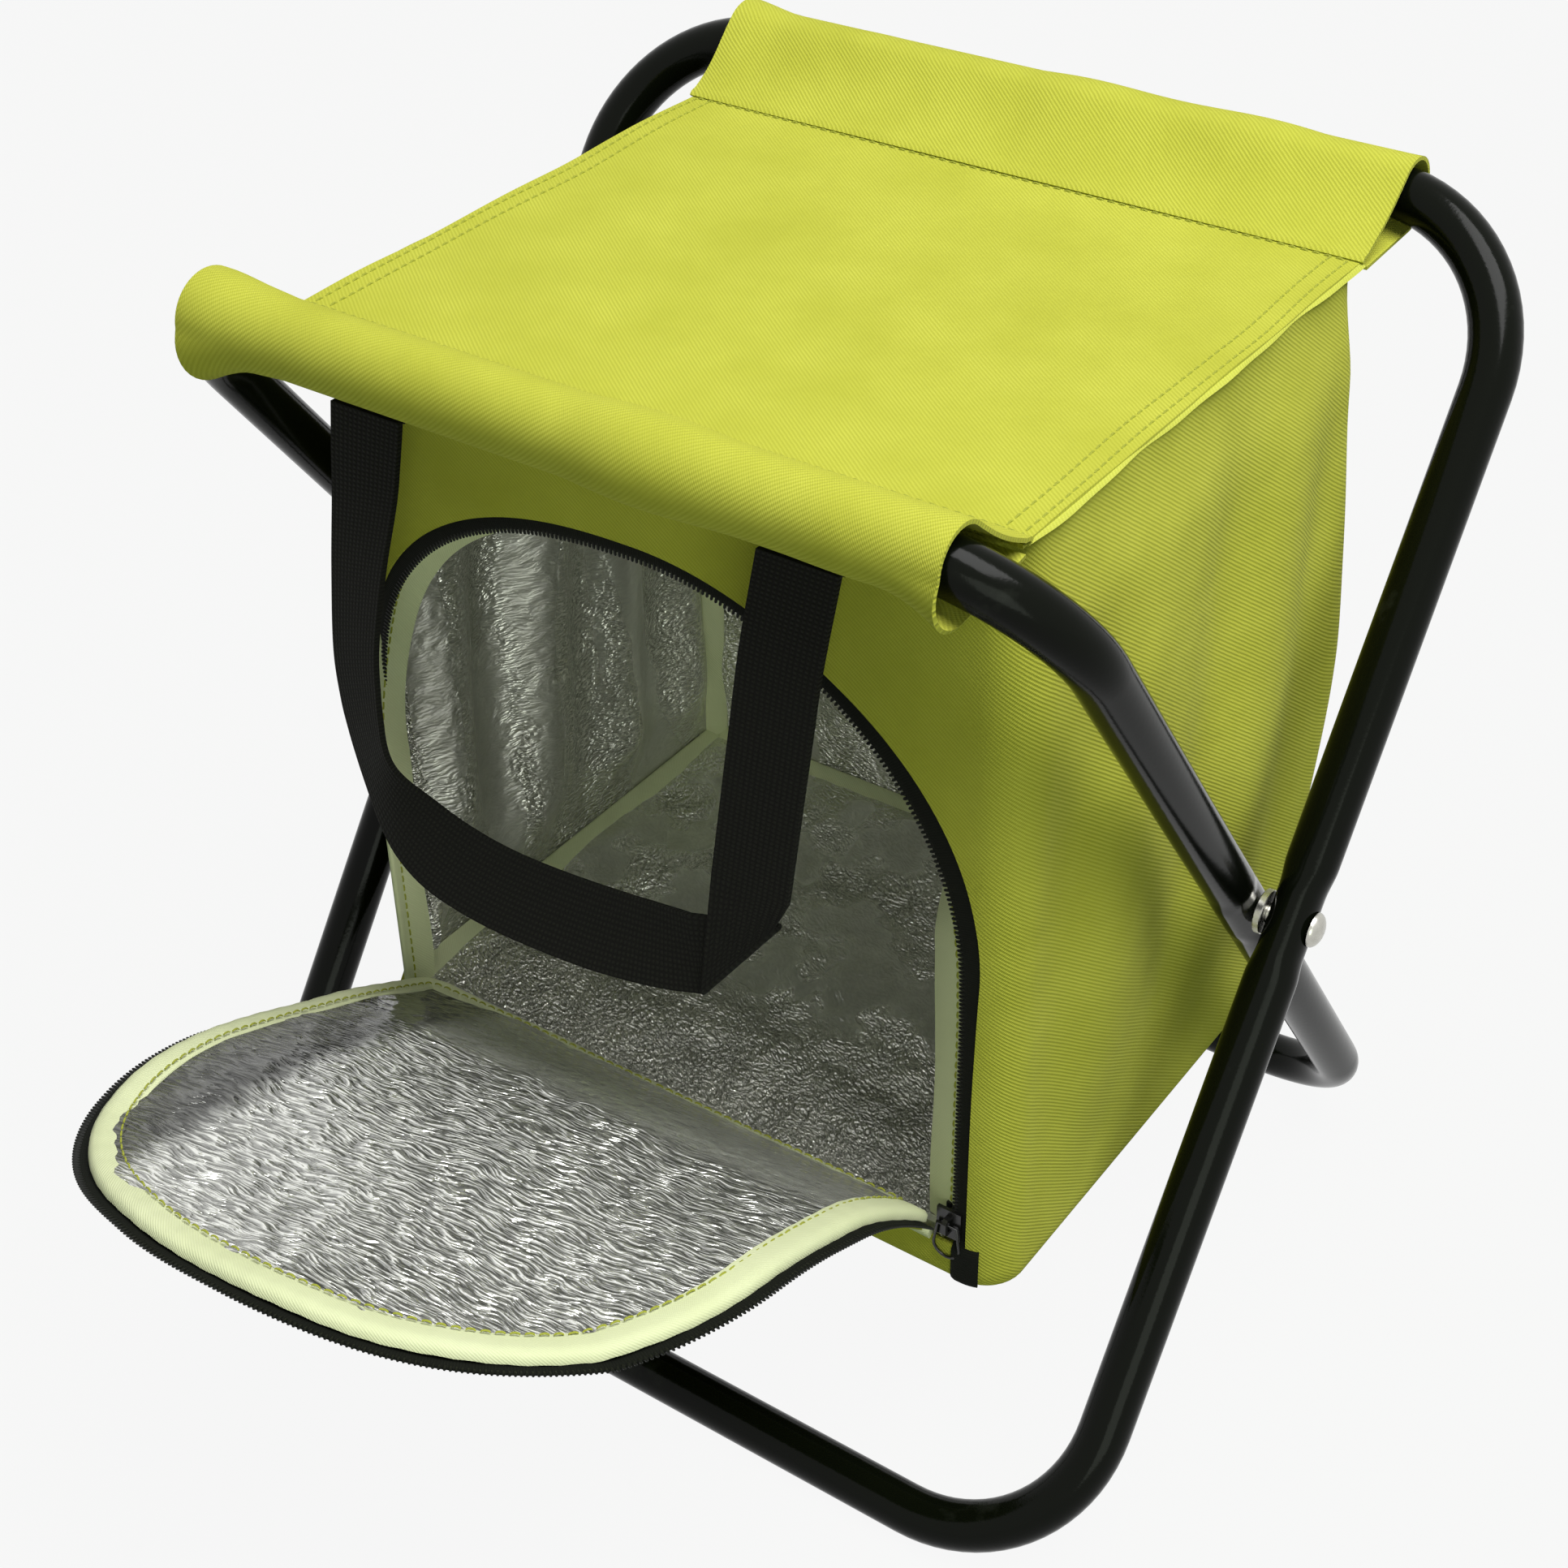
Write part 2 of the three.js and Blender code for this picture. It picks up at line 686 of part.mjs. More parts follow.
// Zip slider: two plates joined by a web that runs between the zip's halves, with a staple
// on the front that holds the wire pull.
function sliderBody() {
  const front = sliderWidth / 2;
  const rear = sliderBackWidth / 2;
  const web = sliderWeb / 2;
  const face = -zipLayer[0] + clearance + sliderPlate;
  const frontIn = -zipLayer[0] + clearance;
  const rearIn = -zipLayer[1] - clearance;
  const shape = new THREE.Shape([
    [-front, face], [-front, frontIn], [-web, frontIn], [-web, rearIn], [-rear, rearIn],
    [-rear, rearIn - sliderPlate], [rear, rearIn - sliderPlate], [rear, rearIn],
    [web, rearIn], [web, frontIn], [front, frontIn], [front, face],
  ].map(([x, depth]) => new THREE.Vector2(x, -depth)));
  const body = plate(shape, 0, sliderHeight);
  const foot = -stapleWire;
  const staple = new THREE.Shape([
    [foot, 0], [stapleReach - stapleWire, 0], [stapleReach, stapleWire],
    [stapleReach, stapleLength - stapleWire], [stapleReach - stapleWire, stapleLength],
    [foot, stapleLength], [foot, stapleLength - stapleWire],
    [stapleReach - stapleWire, stapleLength - stapleWire],
    [stapleReach - stapleWire, stapleWire], [foot, stapleWire],
  ].map(([out, along]) => new THREE.Vector2(out, along)));
  const arch = plate(staple, -stapleWidth / 2, stapleWidth / 2);
  arch.rotateY(quarterTurn);
  arch.rotateX(quarterTurn);
  arch.rotateZ(halfTurn);
  return { body, arch, face };
}

function slider() {
  const { body, arch, face } = sliderBody();
  const lift = (sliderHeight - stapleLength) / 2;
  arch.computeBoundingBox();
  arch.translate(0, -face - arch.boundingBox.min.y - stapleReach, lift - arch.boundingBox.min.z);
  const joined = fromSolid(toSolid(body).add(toSolid(arch)));
  joined.translate(zipLineHalf, -bagFront, hingeZ + sliderRise);
  return { joined, face };
}

const sliderMade = slider();
addPiece('zip_slider', sliderMade.joined, blackCloth);

// The pull is a closed wire loop that hangs from the staple.
function pullLoop() {
  const half = pullWidth / 2;
  const foot = half + pullFlare;
  const rounds = [];
  for (let i = 0; i <= pullSteps; i++) {
    const angle = (i / pullSteps) * halfTurn;
    rounds.push(new THREE.Vector2(foot * Math.cos(angle), -(pullLength - foot) - foot * Math.sin(angle)));
  }
  const path = [new THREE.Vector2(half, 0), ...rounds, new THREE.Vector2(-half, 0)];
  const rings = path.map((point, i) => {
    const before = path[(i + path.length - 1) % path.length];
    const after = path[(i + 1) % path.length];
    const into = point.clone().sub(before).normalize();
    const away = after.clone().sub(point).normalize();
    const tangent = into.clone().add(away).normalize();
    const out = new THREE.Vector2(tangent.y, -tangent.x);
    const widen = 1 / Math.max(1 / 2, into.dot(tangent));
    const ring = [];
    for (let k = 0; k < pullSides; k++) {
      const angle = (k / pullSides) * fullTurn;
      const reach = (pullWire / 2) * Math.cos(angle) * widen;
      const depth = (pullWire / 2) * Math.sin(angle);
      ring.push(new THREE.Vector3(point.x + out.x * reach, depth, point.y + out.y * reach));
    }
    return ring;
  });
  return loft(rings, true);
}

const pullAxisY = -bagFront - sliderMade.face - (stapleReach - stapleWire) / 2;
const pullAxisZ = hingeZ + sliderRise + sliderHeight / 2;
const pull = addPiece('zip_pull', pullLoop(), steel);
pull.position.set(zipLineHalf, pullAxisY, pullAxisZ);

// Handles: a loop of webbing that swings from two short tabs sewn under the seat's edge. The
// webbing bends round at the left and is folded over on a slant at the right.
function handleOutline() {
  const outer = (strapSpacing + strapWidth) / 2;
  const inner = (strapSpacing - strapWidth) / 2;
  const outline = new THREE.Shape();
  const roundOut = handleCorner + strapWidth;
  outline.moveTo(-outer, 0);
  outline.lineTo(-outer, -handleDrop + roundOut);
  outline.absarc(-outer + roundOut, -handleDrop + roundOut, roundOut, halfTurn, 3 * quarterTurn);
  outline.lineTo(inner, -handleDrop);
  outline.lineTo(outer, -handleDrop + roundOut);
  outline.lineTo(outer, 0);
  outline.lineTo(inner, 0);
  outline.lineTo(inner, -handleDrop + strapWidth);
  outline.lineTo(-inner + handleCorner, -handleDrop + strapWidth);
  outline.absarc(
    -inner + handleCorner, -handleDrop + roundOut, handleCorner, 3 * quarterTurn, halfTurn, true);
  outline.lineTo(-inner, 0);
  return outline;
}

const tabRoot = bagFront + clearance;
const tabTip = tabRoot + tabLength;
const tabRootZ = seatTop - 2 * clothThickness - clearance;
const tabTipZ = tabRootZ - tabDip;

function tab(centreX) {
  const section = [
    [tabRoot, tabRootZ], [tabTip, tabTipZ],
    [tabTip, tabTipZ - strapThickness], [tabRoot, tabRootZ - strapThickness],
  ];
  const rings = [-strapWidth / 2, strapWidth / 2].map(
    (x) => section.map(([out, z]) => new THREE.Vector3(centreX + x, -out, z)));
  return loft(rings, false);
}

for (const [name, turn] of [['front', 0], ['back', halfTurn]]) {
  const assembly = new THREE.Group();
  assembly.rotation.z = turn;
  stool.add(assembly);
  for (const [side, sideName] of [[-1, 'left'], [1, 'right']]) {
    assembly.add(addPiece(`${name}_handle_tab_${sideName}`, tab(side * strapSpacing / 2), blackCloth));
  }
  const loop = plate(handleOutline(), -strapThickness / 2, strapThickness / 2);
  loop.rotateX(quarterTurn - THREE.MathUtils.degToRad(handleLean));
  const swing = addPiece(`${name}_handle`, loop, blackCloth);
  swing.position.set(0, -tabTip - clearance - strapThickness / 2, tabTipZ);
  assembly.add(swing);
}

// The whole object stands centred over the origin.
stool.updateMatrixWorld(true);
const reach = new THREE.Box3().setFromObject(stool);
stool.position.y = -(reach.min.y + reach.max.y) / 2;
stool.updateMatrixWorld(true);

export default stool;
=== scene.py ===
import json
from math import atan2, cos, exp, pi, radians, sin, sqrt, tan

import bpy
import numpy as np
from mathutils import Euler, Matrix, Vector


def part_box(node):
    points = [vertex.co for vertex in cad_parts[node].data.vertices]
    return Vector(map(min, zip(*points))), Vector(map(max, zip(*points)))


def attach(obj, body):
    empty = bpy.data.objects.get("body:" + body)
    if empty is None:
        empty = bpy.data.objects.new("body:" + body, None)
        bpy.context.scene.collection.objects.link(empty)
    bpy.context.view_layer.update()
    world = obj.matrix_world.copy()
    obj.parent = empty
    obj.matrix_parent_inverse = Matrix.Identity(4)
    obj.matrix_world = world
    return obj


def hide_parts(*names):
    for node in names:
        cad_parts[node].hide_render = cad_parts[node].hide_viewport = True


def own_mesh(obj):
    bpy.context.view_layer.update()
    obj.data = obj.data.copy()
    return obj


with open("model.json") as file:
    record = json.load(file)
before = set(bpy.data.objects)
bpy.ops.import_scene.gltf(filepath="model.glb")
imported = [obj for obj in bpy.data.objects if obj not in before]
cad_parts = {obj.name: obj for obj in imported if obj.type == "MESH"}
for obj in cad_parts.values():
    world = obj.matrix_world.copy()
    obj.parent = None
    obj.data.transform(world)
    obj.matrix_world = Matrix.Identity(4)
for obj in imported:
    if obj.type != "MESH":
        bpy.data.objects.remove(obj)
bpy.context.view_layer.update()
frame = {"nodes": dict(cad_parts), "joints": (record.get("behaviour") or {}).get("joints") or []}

# Sizes in metres, the same as the CAD part's
TUBE_RADIUS = 0.008
OUTER_WIDTH = 0.326
LEG_GAP = 0.001
FRAME_LENGTH = 0.431
BAR_SPREAD = 0.255
OUTER_BEND = 0.051
INNER_BEND = 0.045
PRESS_DEPTH = 0.001
PRESS_FLAT = 0.018
PRESS_RUN = 0.010
PRESS_SPREAD_SHARE = 0.6
CLEARANCE = 0.0003
CLOTH = 0.0012
LINING = 0.0025
BAG_SIDE_GAP = 0.013
FLOOR_Z = 0.082
SEAT_DROP = 0.0095
SEAT_INSET = 0.004
SIDE_BULGE = 0.005
BACK_BULGE = 0.009
SLEEVE_INSET = 0.003
SLEEVE_TAIL = 0.030
SLEEVE_EASE = 0.0007
HINGE_HEIGHT = 0.016
HINGE_PROUD = 0.0004
OPENING_SIDE_MARGIN = 0.014
OPENING_TOP_MARGIN = 0.042
OPENING_RISE_SHARE = 0.505
LEFT_FULLNESS = 2.5
RIGHT_FULLNESS = 1.9
ZIP_SHOW = 0.005
DOOR_ANGLE = radians(24)
STRAP_WIDTH = 0.025
STRAP_THICKNESS = 0.0018
STRAP_SPACING_SHARE = 0.576
HANDLE_LEAN = radians(5)
TAB_LENGTH = 0.023
TAB_DIP = 0.0055

fold = next(joint for joint in frame["joints"] if joint["name"] == "frame_fold")
PIVOT_Y = fold["pos_m"][1]
INNER_WIDTH = OUTER_WIDTH - 2 * (2 * TUBE_RADIUS + LEG_GAP)
FRAME_HEIGHT = sqrt(FRAME_LENGTH ** 2 - BAR_SPREAD ** 2)
FRAME_ANGLE = atan2(FRAME_HEIGHT, BAR_SPREAD)
PIVOT_Z = TUBE_RADIUS + FRAME_HEIGHT / 2
BAR_Z = TUBE_RADIUS + FRAME_HEIGHT
SEAT_Z = BAR_Z - SEAT_DROP
BAG_HALF = (INNER_WIDTH - 2 * TUBE_RADIUS) / 2 - BAG_SIDE_GAP
BAG_FRONT = BAR_SPREAD / 2 - SLEEVE_TAIL
BAG_HEIGHT = SEAT_Z - FLOOR_Z
HINGE_Z = FLOOR_Z + HINGE_HEIGHT
OPENING_HEIGHT = BAG_HEIGHT - HINGE_HEIGHT - OPENING_TOP_MARGIN
ZIP_RISE = OPENING_HEIGHT * OPENING_RISE_SHARE - ZIP_SHOW
ZIP_STRAIGHT = OPENING_HEIGHT * (1 - OPENING_RISE_SHARE)
ZIP_HALF = BAG_HALF - OPENING_SIDE_MARGIN - ZIP_SHOW
STRAP_SPACING = 2 * BAG_HALF * STRAP_SPACING_SHARE
TUBE_SIDES, BEND_STEPS, LEG_STEPS, TURNED_SIDES = 40, 20, 12, 32
TINY = 1e-12


# Meshes

def grid_faces(columns, rows, wrap=False):
    """Quads of a grid of points that runs row by row; wrap joins the last column to the first."""
    faces = []
    last = columns if wrap else columns - 1
    for row in range(rows - 1):
        for column in range(last):
            after = (column + 1) % columns
            low, high = row * columns, (row + 1) * columns
            faces.append((low + column, low + after, high + after, high + column))
    return faces


def weld(points, faces, uvs):
    """Joins points that lie in the same place and drops faces that have no area."""
    keys = np.round(np.hstack([points, uvs]), 6)
    _, first, inverse = np.unique(keys, axis=0, return_index=True, return_inverse=True)
    inverse = inverse.ravel()
    kept = []
    for face in faces:
        ring = []
        for corner in (int(inverse[i]) for i in face):
            if corner not in ring:
                ring.append(corner)
        if len(ring) > 2:
            kept.append(tuple(ring))
    return points[first], kept, uvs[first]


def point_normals(points, faces):
    """Unit normals at the points of a mesh of quads and triangles, weighted by area."""
    corners = np.array([face if len(face) == 4 else (*face, face[-1]) for face in faces])
    a, b, c, d = (points[corners[:, k]] for k in range(4))
    crossed = np.cross(c - a, d - b)
    normals = np.zeros_like(points)
    for k in range(4):
        np.add.at(normals, corners[:, k], crossed)
    lengths = np.linalg.norm(normals, axis=1, keepdims=True)
    return normals / np.maximum(lengths, TINY)


def thicken(points, faces, uvs, thickness):
    """Gives an open sheet a back, that thickness behind its face, and an edge between them."""
    normals = point_normals(points, faces)
    count = len(points)
    edges = {}
    for face in faces:
        for a, b in zip(face, face[1:] + face[:1]):
            edges[(a, b)] = edges.get((a, b), 0) + 1
    rim = [(b, a, a + count, b + count) for (a, b) in edges if (b, a) not in edges]
    back = [tuple(i + count for i in reversed(face)) for face in faces]
    both = np.vstack([points, points - normals * thickness])
    return both, list(faces) + back + rim, np.vstack([uvs, uvs])


def outward(points, faces):
    """The faces of a closed mesh, turned to face out."""
    corners = np.array([face[:3] for face in faces])
    a, b, c = (points[corners[:, k]] for k in range(3))
    fans = [face for face in faces if len(face) > 3]
    volume = np.sum(a * np.cross(b, c))
    for face in fans:
        first = points[face[0]]
        for k in range(2, len(face) - 1):
            volume += np.dot(first, np.cross(points[face[k]], points[face[k + 1]]))
    return faces if volume > 0 else [tuple(reversed(face)) for face in faces]


def piece(name, points, faces, uvs, body, finish, slot, sharp=50):
    """Adds a smooth mesh. Its points are about the pivot line, and it rides on a body."""
    faces = outward(np.asarray(points, float), faces)
    mesh = bpy.data.meshes.new(name)
    placed = np.asarray(points, float) + (0, PIVOT_Y, 0)
    mesh.from_pydata(placed.tolist(), [], faces)
    index = np.empty(len(mesh.loops), int)
    mesh.loops.foreach_get("vertex_index", index)
    layer = mesh.uv_layers.new(name="UVMap")
    layer.data.foreach_set("uv", np.asarray(uvs, float)[index].ravel())
    mesh.shade_smooth()
    mesh.set_sharp_from_angle(angle=radians(sharp))
    mesh.materials.append(finish)
    made = bpy.data.objects.new(name, mesh)
    bpy.context.scene.collection.objects.link(made)
    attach(made, body)
    return made


def surface(name, place, columns, rows, size, thickness, body, finish, slot):
    """A thick sheet from a function of two shares, u across and v up, with uvs in metres."""
    v, u = np.meshgrid(np.linspace(0, 1, rows), np.linspace(0, 1, columns), indexing="ij")
    points = place(u.ravel(), v.ravel())
    uvs = np.column_stack([u.ravel() * size[0], v.ravel() * size[1]])
    made = thicken(points, grid_faces(columns, rows), uvs, thickness)
    return piece(name, *made, body, finish, slot)


def running(points):
    """Distances along a line of points, from 0 at its first."""
    steps = np.linalg.norm(np.diff(points, axis=0), axis=1)
    return np.concatenate([[0], np.cumsum(steps)])


def rows_at(distances, lengths, rows):
    """Rows of numbers at distances along the line that they follow."""
    return np.column_stack([np.interp(distances, lengths, column) for column in rows.T])


def oval(half, high, sides):
    """A closed profile round an ellipse of two half axes."""
    return [(half * cos(a), high * sin(a)) for a in np.arange(sides) * pi / (sides / 2)]


def skin(rings, closed):
    """A surface over rings of points, joined end to end or capped at both ends."""
    rings = np.array(rings)
    count, sides = rings.shape[:2]
    along = running(rings.mean(1))
    loop = rings[count // 2]
    girth = np.linalg.norm(np.roll(loop, -1, axis=0) - loop, axis=1)
    around = np.concatenate([[0], np.cumsum(girth)[:-1]])
    uvs = np.array([(a, b) for a in along for b in around])
    faces = grid_faces(sides, count, wrap=True)
    last = (count - 1) * sides
    if closed:
        faces += [(last + i, last + (i + 1) % sides, (i + 1) % sides, i) for i in range(sides)]
    else:
        faces += [tuple(reversed(range(sides))), tuple(range(last, last + sides))]
    return rings.reshape(-1, 3), faces, uvs


def sweep(path, profile, closed):
    """Carries a closed profile along a path. Each path point is (place, out, up), and each
    profile point is (out, up)."""
    rings = []
    for place, out, up in path:
        rings.append([np.array(place) + np.array(out) * a + np.array(up) * b for a, b in profile])
    return skin(rings, closed)


def combine(parts):
    """One mesh out of several (points, faces, uvs)."""
    points, faces, uvs, count = [], [], [], 0
    for some_points, some_faces, some_uvs in parts:
        points.append(some_points)
        uvs.append(some_uvs)
        faces += [tuple(i + count for i in face) for face in some_faces]
        count += len(some_points)
    return np.vstack(points), faces, np.vstack(uvs)


def soften(t):
    t = np.clip(t, 0, 1)
    return t * t * (3 - 2 * t)


def lattice_noise(u, v, cell_u, cell_v, seed):
    """Smooth noise from -1 to 1 over a plane, with cells of a given size."""
    size = 256
    values = np.random.default_rng(seed).uniform(-1, 1, (size, size))
    a, b = np.asarray(u) / cell_u, np.asarray(v) / cell_v
    i, j = np.floor(a).astype(int), np.floor(b).astype(int)
    s, t = soften(a - i), soften(b - j)
    at = lambda di, dj: values[(i + di) % size, (j + dj) % size]
    low = at(0, 0) * (1 - s) + at(1, 0) * s
    high = at(0, 1) * (1 - s) + at(1, 1) * s
    return low * (1 - t) + high * t


# Materials

WAVE_RATE = 20
TWILL_TURN = radians(-52)
FOIL_WARP, FOIL_DENT, FOIL_STAIN_SHARE, FOIL_GLOSS = 0.007, 0.0012, 0.85, 0.15


def put(tree, socket, value):
    """Links a socket to the one given, or sets its value."""
    if isinstance(value, bpy.types.NodeSocket):
        tree.links.new(value, socket)
    else:
        socket.default_value = value


def node(tree, kind, inputs=None, **settings):
    made = tree.nodes.new(kind)
    for name, value in settings.items():
        setattr(made, name, value)
    for name, value in (inputs or {}).items():
        put(tree, made.inputs[name], value)
    return made


def new_material(name):
    made = bpy.data.materials.new(name)
    made.use_nodes = True
    tree = made.node_tree
    return made, tree, tree.nodes["Principled BSDF"]


def dress(tree, shader, values):
    """Sets or links a shader's sockets by their names."""
    for name, value in values.items():
        put(tree, shader.inputs[name], value)


def uv_place(tree):
    return node(tree, "ShaderNodeUVMap", uv_map="UVMap").outputs["UV"]


def object_place(tree):
    return node(tree, "ShaderNodeTexCoord").outputs["Object"]


def noise(tree, vector, scale, detail):
    return node(tree, "ShaderNodeTexNoise", {
        "Vector": vector, "Scale": scale, "Detail": detail}).outputs["Fac"]


def bump(tree, height, strength, distance, over=None):
    """The normal of a relief, laid over another one where that is given."""
    made = node(tree, "ShaderNodeBump", {"Height": height, "Strength": strength, "Distance": distance})
    if over is not None:
        tree.links.new(over, made.inputs["Normal"])
    return made.outputs["Normal"]


def spread(tree, value, span, result):
    """Carries a value from one span over to another, held at the ends."""
    return node(tree, "ShaderNodeMapRange", {
        "Value": value, "From Min": span[0], "From Max": span[1],
        "To Min": result[0], "To Max": result[1]}).outputs["Result"]


def ramp(tree, value, low, high, least=0.0):
    """A share that grows from least to 1 as a value goes from low to high."""
    return node(tree, "ShaderNodeMapRange", {
        "Value": value, "From Min": low, "From Max": high, "To Min": least, "To Max": 1.0},
        interpolation_type="SMOOTHSTEP").outputs["Result"]


def reckon(tree, operation, first, second):
    return node(tree, "ShaderNodeMath", {0: first, 1: second}, operation=operation).outputs[0]


def product(tree, first, second):
    return reckon(tree, "MULTIPLY", first, second)


def waves(tree, vector, pitch, turn, distortion):
    """Straight waves of a pitch in metres across a direction, from 0 to 1."""
    turned = node(tree, "ShaderNodeMapping", {"Vector": vector, "Rotation": (0, 0, turn)})
    return node(tree, "ShaderNodeTexWave", {
        "Vector": turned.outputs["Vector"], "Scale": 2 * pi / WAVE_RATE / pitch,
        "Distortion": distortion, "Detail": 1.0, "Detail Scale": 1.0,
    }, wave_type="BANDS", bands_direction="X", wave_profile="SIN").outputs["Fac"]


def mix_colour(tree, factor, first, second):
    made = node(tree, "ShaderNodeMix", data_type="RGBA")
    for index, value in ((0, factor), (6, first), (7, second)):
        put(tree, made.inputs[index], value)
    return made.outputs[2]


def darker(colour, share):
    return (*[c * share for c in colour], 1)


def cloth_material(name, light, dark, pitch, depth, roughness, sheen, turn=TWILL_TURN):
    """Woven cloth: diagonal twill lines crossed by finer threads, with slow colour changes."""
    made, tree, shader = new_material(name)
    uv = uv_place(tree)
    twill = waves(tree, uv, pitch, turn, distortion=0.6)
    threads = waves(tree, uv, pitch / 2, turn + pi / 2, distortion=0.8)
    weave = node(tree, "ShaderNodeMix", {0: 0.35, 2: twill, 3: threads}, data_type="FLOAT").outputs[0]
    slow = spread(tree, noise(tree, uv, scale=30.0, detail=4.0), span=(0.3, 0.7), result=(0.35, 1.0))
    relief = bump(tree, weave, strength=0.5, distance=depth)
    creases = noise(tree, uv, scale=55.0, detail=2.0)
    dress(tree, shader, {
        "Base Color": mix_colour(tree, product(tree, weave, slow), (*dark, 1), (*light, 1)),
        "Normal": bump(tree, creases, strength=0.25, distance=0.002, over=relief),
        "Roughness": roughness, "Sheen Weight": sheen, "Sheen Roughness": 0.5, "Specular IOR Level": 0.1})
    return made


def foil_material(name, colour, wrinkle, run, turn, ridge, painted_shade_share, satin, wrinkles_and_painted_light_of):
    """Aluminised film on foam: fine wrinkles of a pitch, a length and a height, over broader
    crumples, with painted shade in the hollows of the wrinkles and a satin roughness where it is smooth.
    The last argument makes the sockets that scale the wrinkles and the painted light and shade of a place."""
    made, tree, shader = new_material(name)
    uv = uv_place(tree)
    warp = node(tree, "ShaderNodeTexNoise", {"Vector": uv, "Scale": 70.0, "Detail": 1.0}).outputs["Color"]
    shifted = node(tree, "ShaderNodeVectorMath", {0: warp, "Scale": FOIL_WARP}, operation="SCALE")
    moved = node(tree, "ShaderNodeVectorMath", {0: uv, 1: shifted.outputs["Vector"]}, operation="ADD")
    place = moved.outputs["Vector"]
    turned = node(tree, "ShaderNodeMapping", {
        "Vector": place, "Rotation": (0, 0, turn), "Scale": (wrinkle, run, 1.0)}, vector_type="TEXTURE")
    fine = node(tree, "ShaderNodeTexNoise", {
        "Vector": turned.outputs["Vector"], "Scale": 1.0, "Detail": 1.5, "Roughness": 0.5}).outputs["Fac"]
    strength, painted_light_share = wrinkles_and_painted_light_of(tree, place)
    cells = node(tree, "ShaderNodeTexVoronoi", {
        "Vector": place, "Scale": 230.0, "Randomness": 1.0}, feature="SMOOTH_F1").outputs["Distance"]
    broad = bump(tree, cells, strength=0.5, distance=FOIL_DENT)
    stain = noise(tree, uv, scale=12.0, detail=3.0)
    tint = mix_colour(tree, stain, darker(colour, FOIL_STAIN_SHARE), (*colour, 1))
    # Painted shade: the wrinkles' valleys are darkened in the base colour, and the place's share makes the
    # film lighter or darker as painted light and shade
    painted_hollow_shade = product(tree, product(tree, ramp(tree, fine, 0.58, 0.42), strength), painted_shade_share)
    painted_shading = product(tree, reckon(tree, "SUBTRACT", 1.0, painted_hollow_shade), painted_light_share)
    dress(tree, shader, {
        "Base Color": mix_colour(tree, painted_shading, (0, 0, 0, 1), tint),
        "Normal": bump(tree, fine, strength, ridge, over=broad),
        "Roughness": spread(tree, strength, span=(0, 1), result=(satin, FOIL_GLOSS)), "Metallic": 0.75})
    return made


def door_look(tree, place):
    """Wrinkles past the door's crest, smooth film before it, and painted shade on its left strip."""
    split = node(tree, "ShaderNodeSeparateXYZ", {"Vector": place})
    beyond = ramp(tree, split.outputs["Y"], CREST_S, CREST_S + CREST_FADE, SMOOTH_SHARE)
    left_strip_painted_shade = ramp(tree, split.outputs["X"], 1 + CREST_X - CREST_FADE, 1 + CREST_X, LEFT_STRIP_PAINTED_SHADE)
    return beyond, left_strip_painted_shade


def wall_look(tree, place):
    """Upright bands of more and of less wrinkled film, with painted light and shade that darkens the film
    between its brighter bands.
    """
    stretched = node(tree, "ShaderNodeMapping", {"Vector": place, "Scale": (38.0, 5.0, 1.0)})
    bands = noise(tree, stretched.outputs["Vector"], scale=1.0, detail=1.0)
    return ramp(tree, bands, 0.42, 0.56, 0.15), ramp(tree, bands, 0.40, 0.58, 0.70)


def floor_look(tree, place):
    """Film that is most crumpled near the door, with quieter bands behind, and patches of painted shade."""
    split = node(tree, "ShaderNodeSeparateXYZ", {"Vector": place})
    front = ramp(tree, split.outputs["Y"], 0.085, 0.045, 0.15)
    patches = noise(tree, place, scale=40.0, detail=2.0)
    more = reckon(tree, "MAXIMUM", front, ramp(tree, patches, 0.45, 0.62, 0.3))
    return more, ramp(tree, patches, 0.35, 0.6, 0.8)


def enamel_material(name, colour, worn, roughness, gloss_level):
    """Glossy enamel: a faint orange peel, with small rubbed spots that show the primer."""
    made, tree, shader = new_material(name)
    place = object_place(tree)
    peel = noise(tree, place, scale=900.0, detail=1.0)
    rubbed = noise(tree, place, scale=45.0, detail=6.0)
    spots = spread(tree, rubbed, span=(0.66, 0.76), result=(0.0, 0.6))
    dress(tree, shader, {
        "Base Color": mix_colour(tree, spots, (*colour, 1), (*worn, 1)),
        "Normal": bump(tree, peel, strength=0.12, distance=0.0002),
        "Roughness": spread(tree, rubbed, span=(0, 1), result=(roughness * 0.8, roughness * 1.4)),
        "Specular IOR Level": gloss_level})
    return made


def steel_material(name, colour, roughness):
    """Turned bright steel: fine rings of machining and a little tarnish."""
    made, tree, shader = new_material(name)
    place = object_place(tree)
    tarnish = noise(tree, place, scale=400.0, detail=4.0)
    scratch = noise(tree, place, scale=2500.0, detail=2.0)
    dress(tree, shader, {
        "Base Color": mix_colour(tree, tarnish, darker(colour, 0.65), (*colour, 1)),
        "Normal": bump(tree, scratch, strength=0.15, distance=0.0001),
        "Roughness": spread(tree, tarnish, span=(0, 1), result=(roughness * 0.7, roughness * 1.5)),
        "Metallic": 1.0})
    return made


def webbing_material(name, light, dark):
    """Black webbing: ribs across the strap crossed by rows of yarn along it."""
    made, tree, shader = new_material(name)
    uv = uv_place(tree)
    ribs = waves(tree, uv, pitch=0.0014, turn=0.0, distortion=0.3)
    rows = waves(tree, uv, pitch=0.0017, turn=pi / 2, distortion=0.3)
    height = product(tree, ribs, rows)
    dress(tree, shader, {
        "Base Color": mix_colour(tree, height, (*dark, 1), (*light, 1)),
        "Normal": bump(tree, height, strength=0.8, distance=0.0004),
        "Roughness": 0.85, "Specular IOR Level": 0.12})
    return made


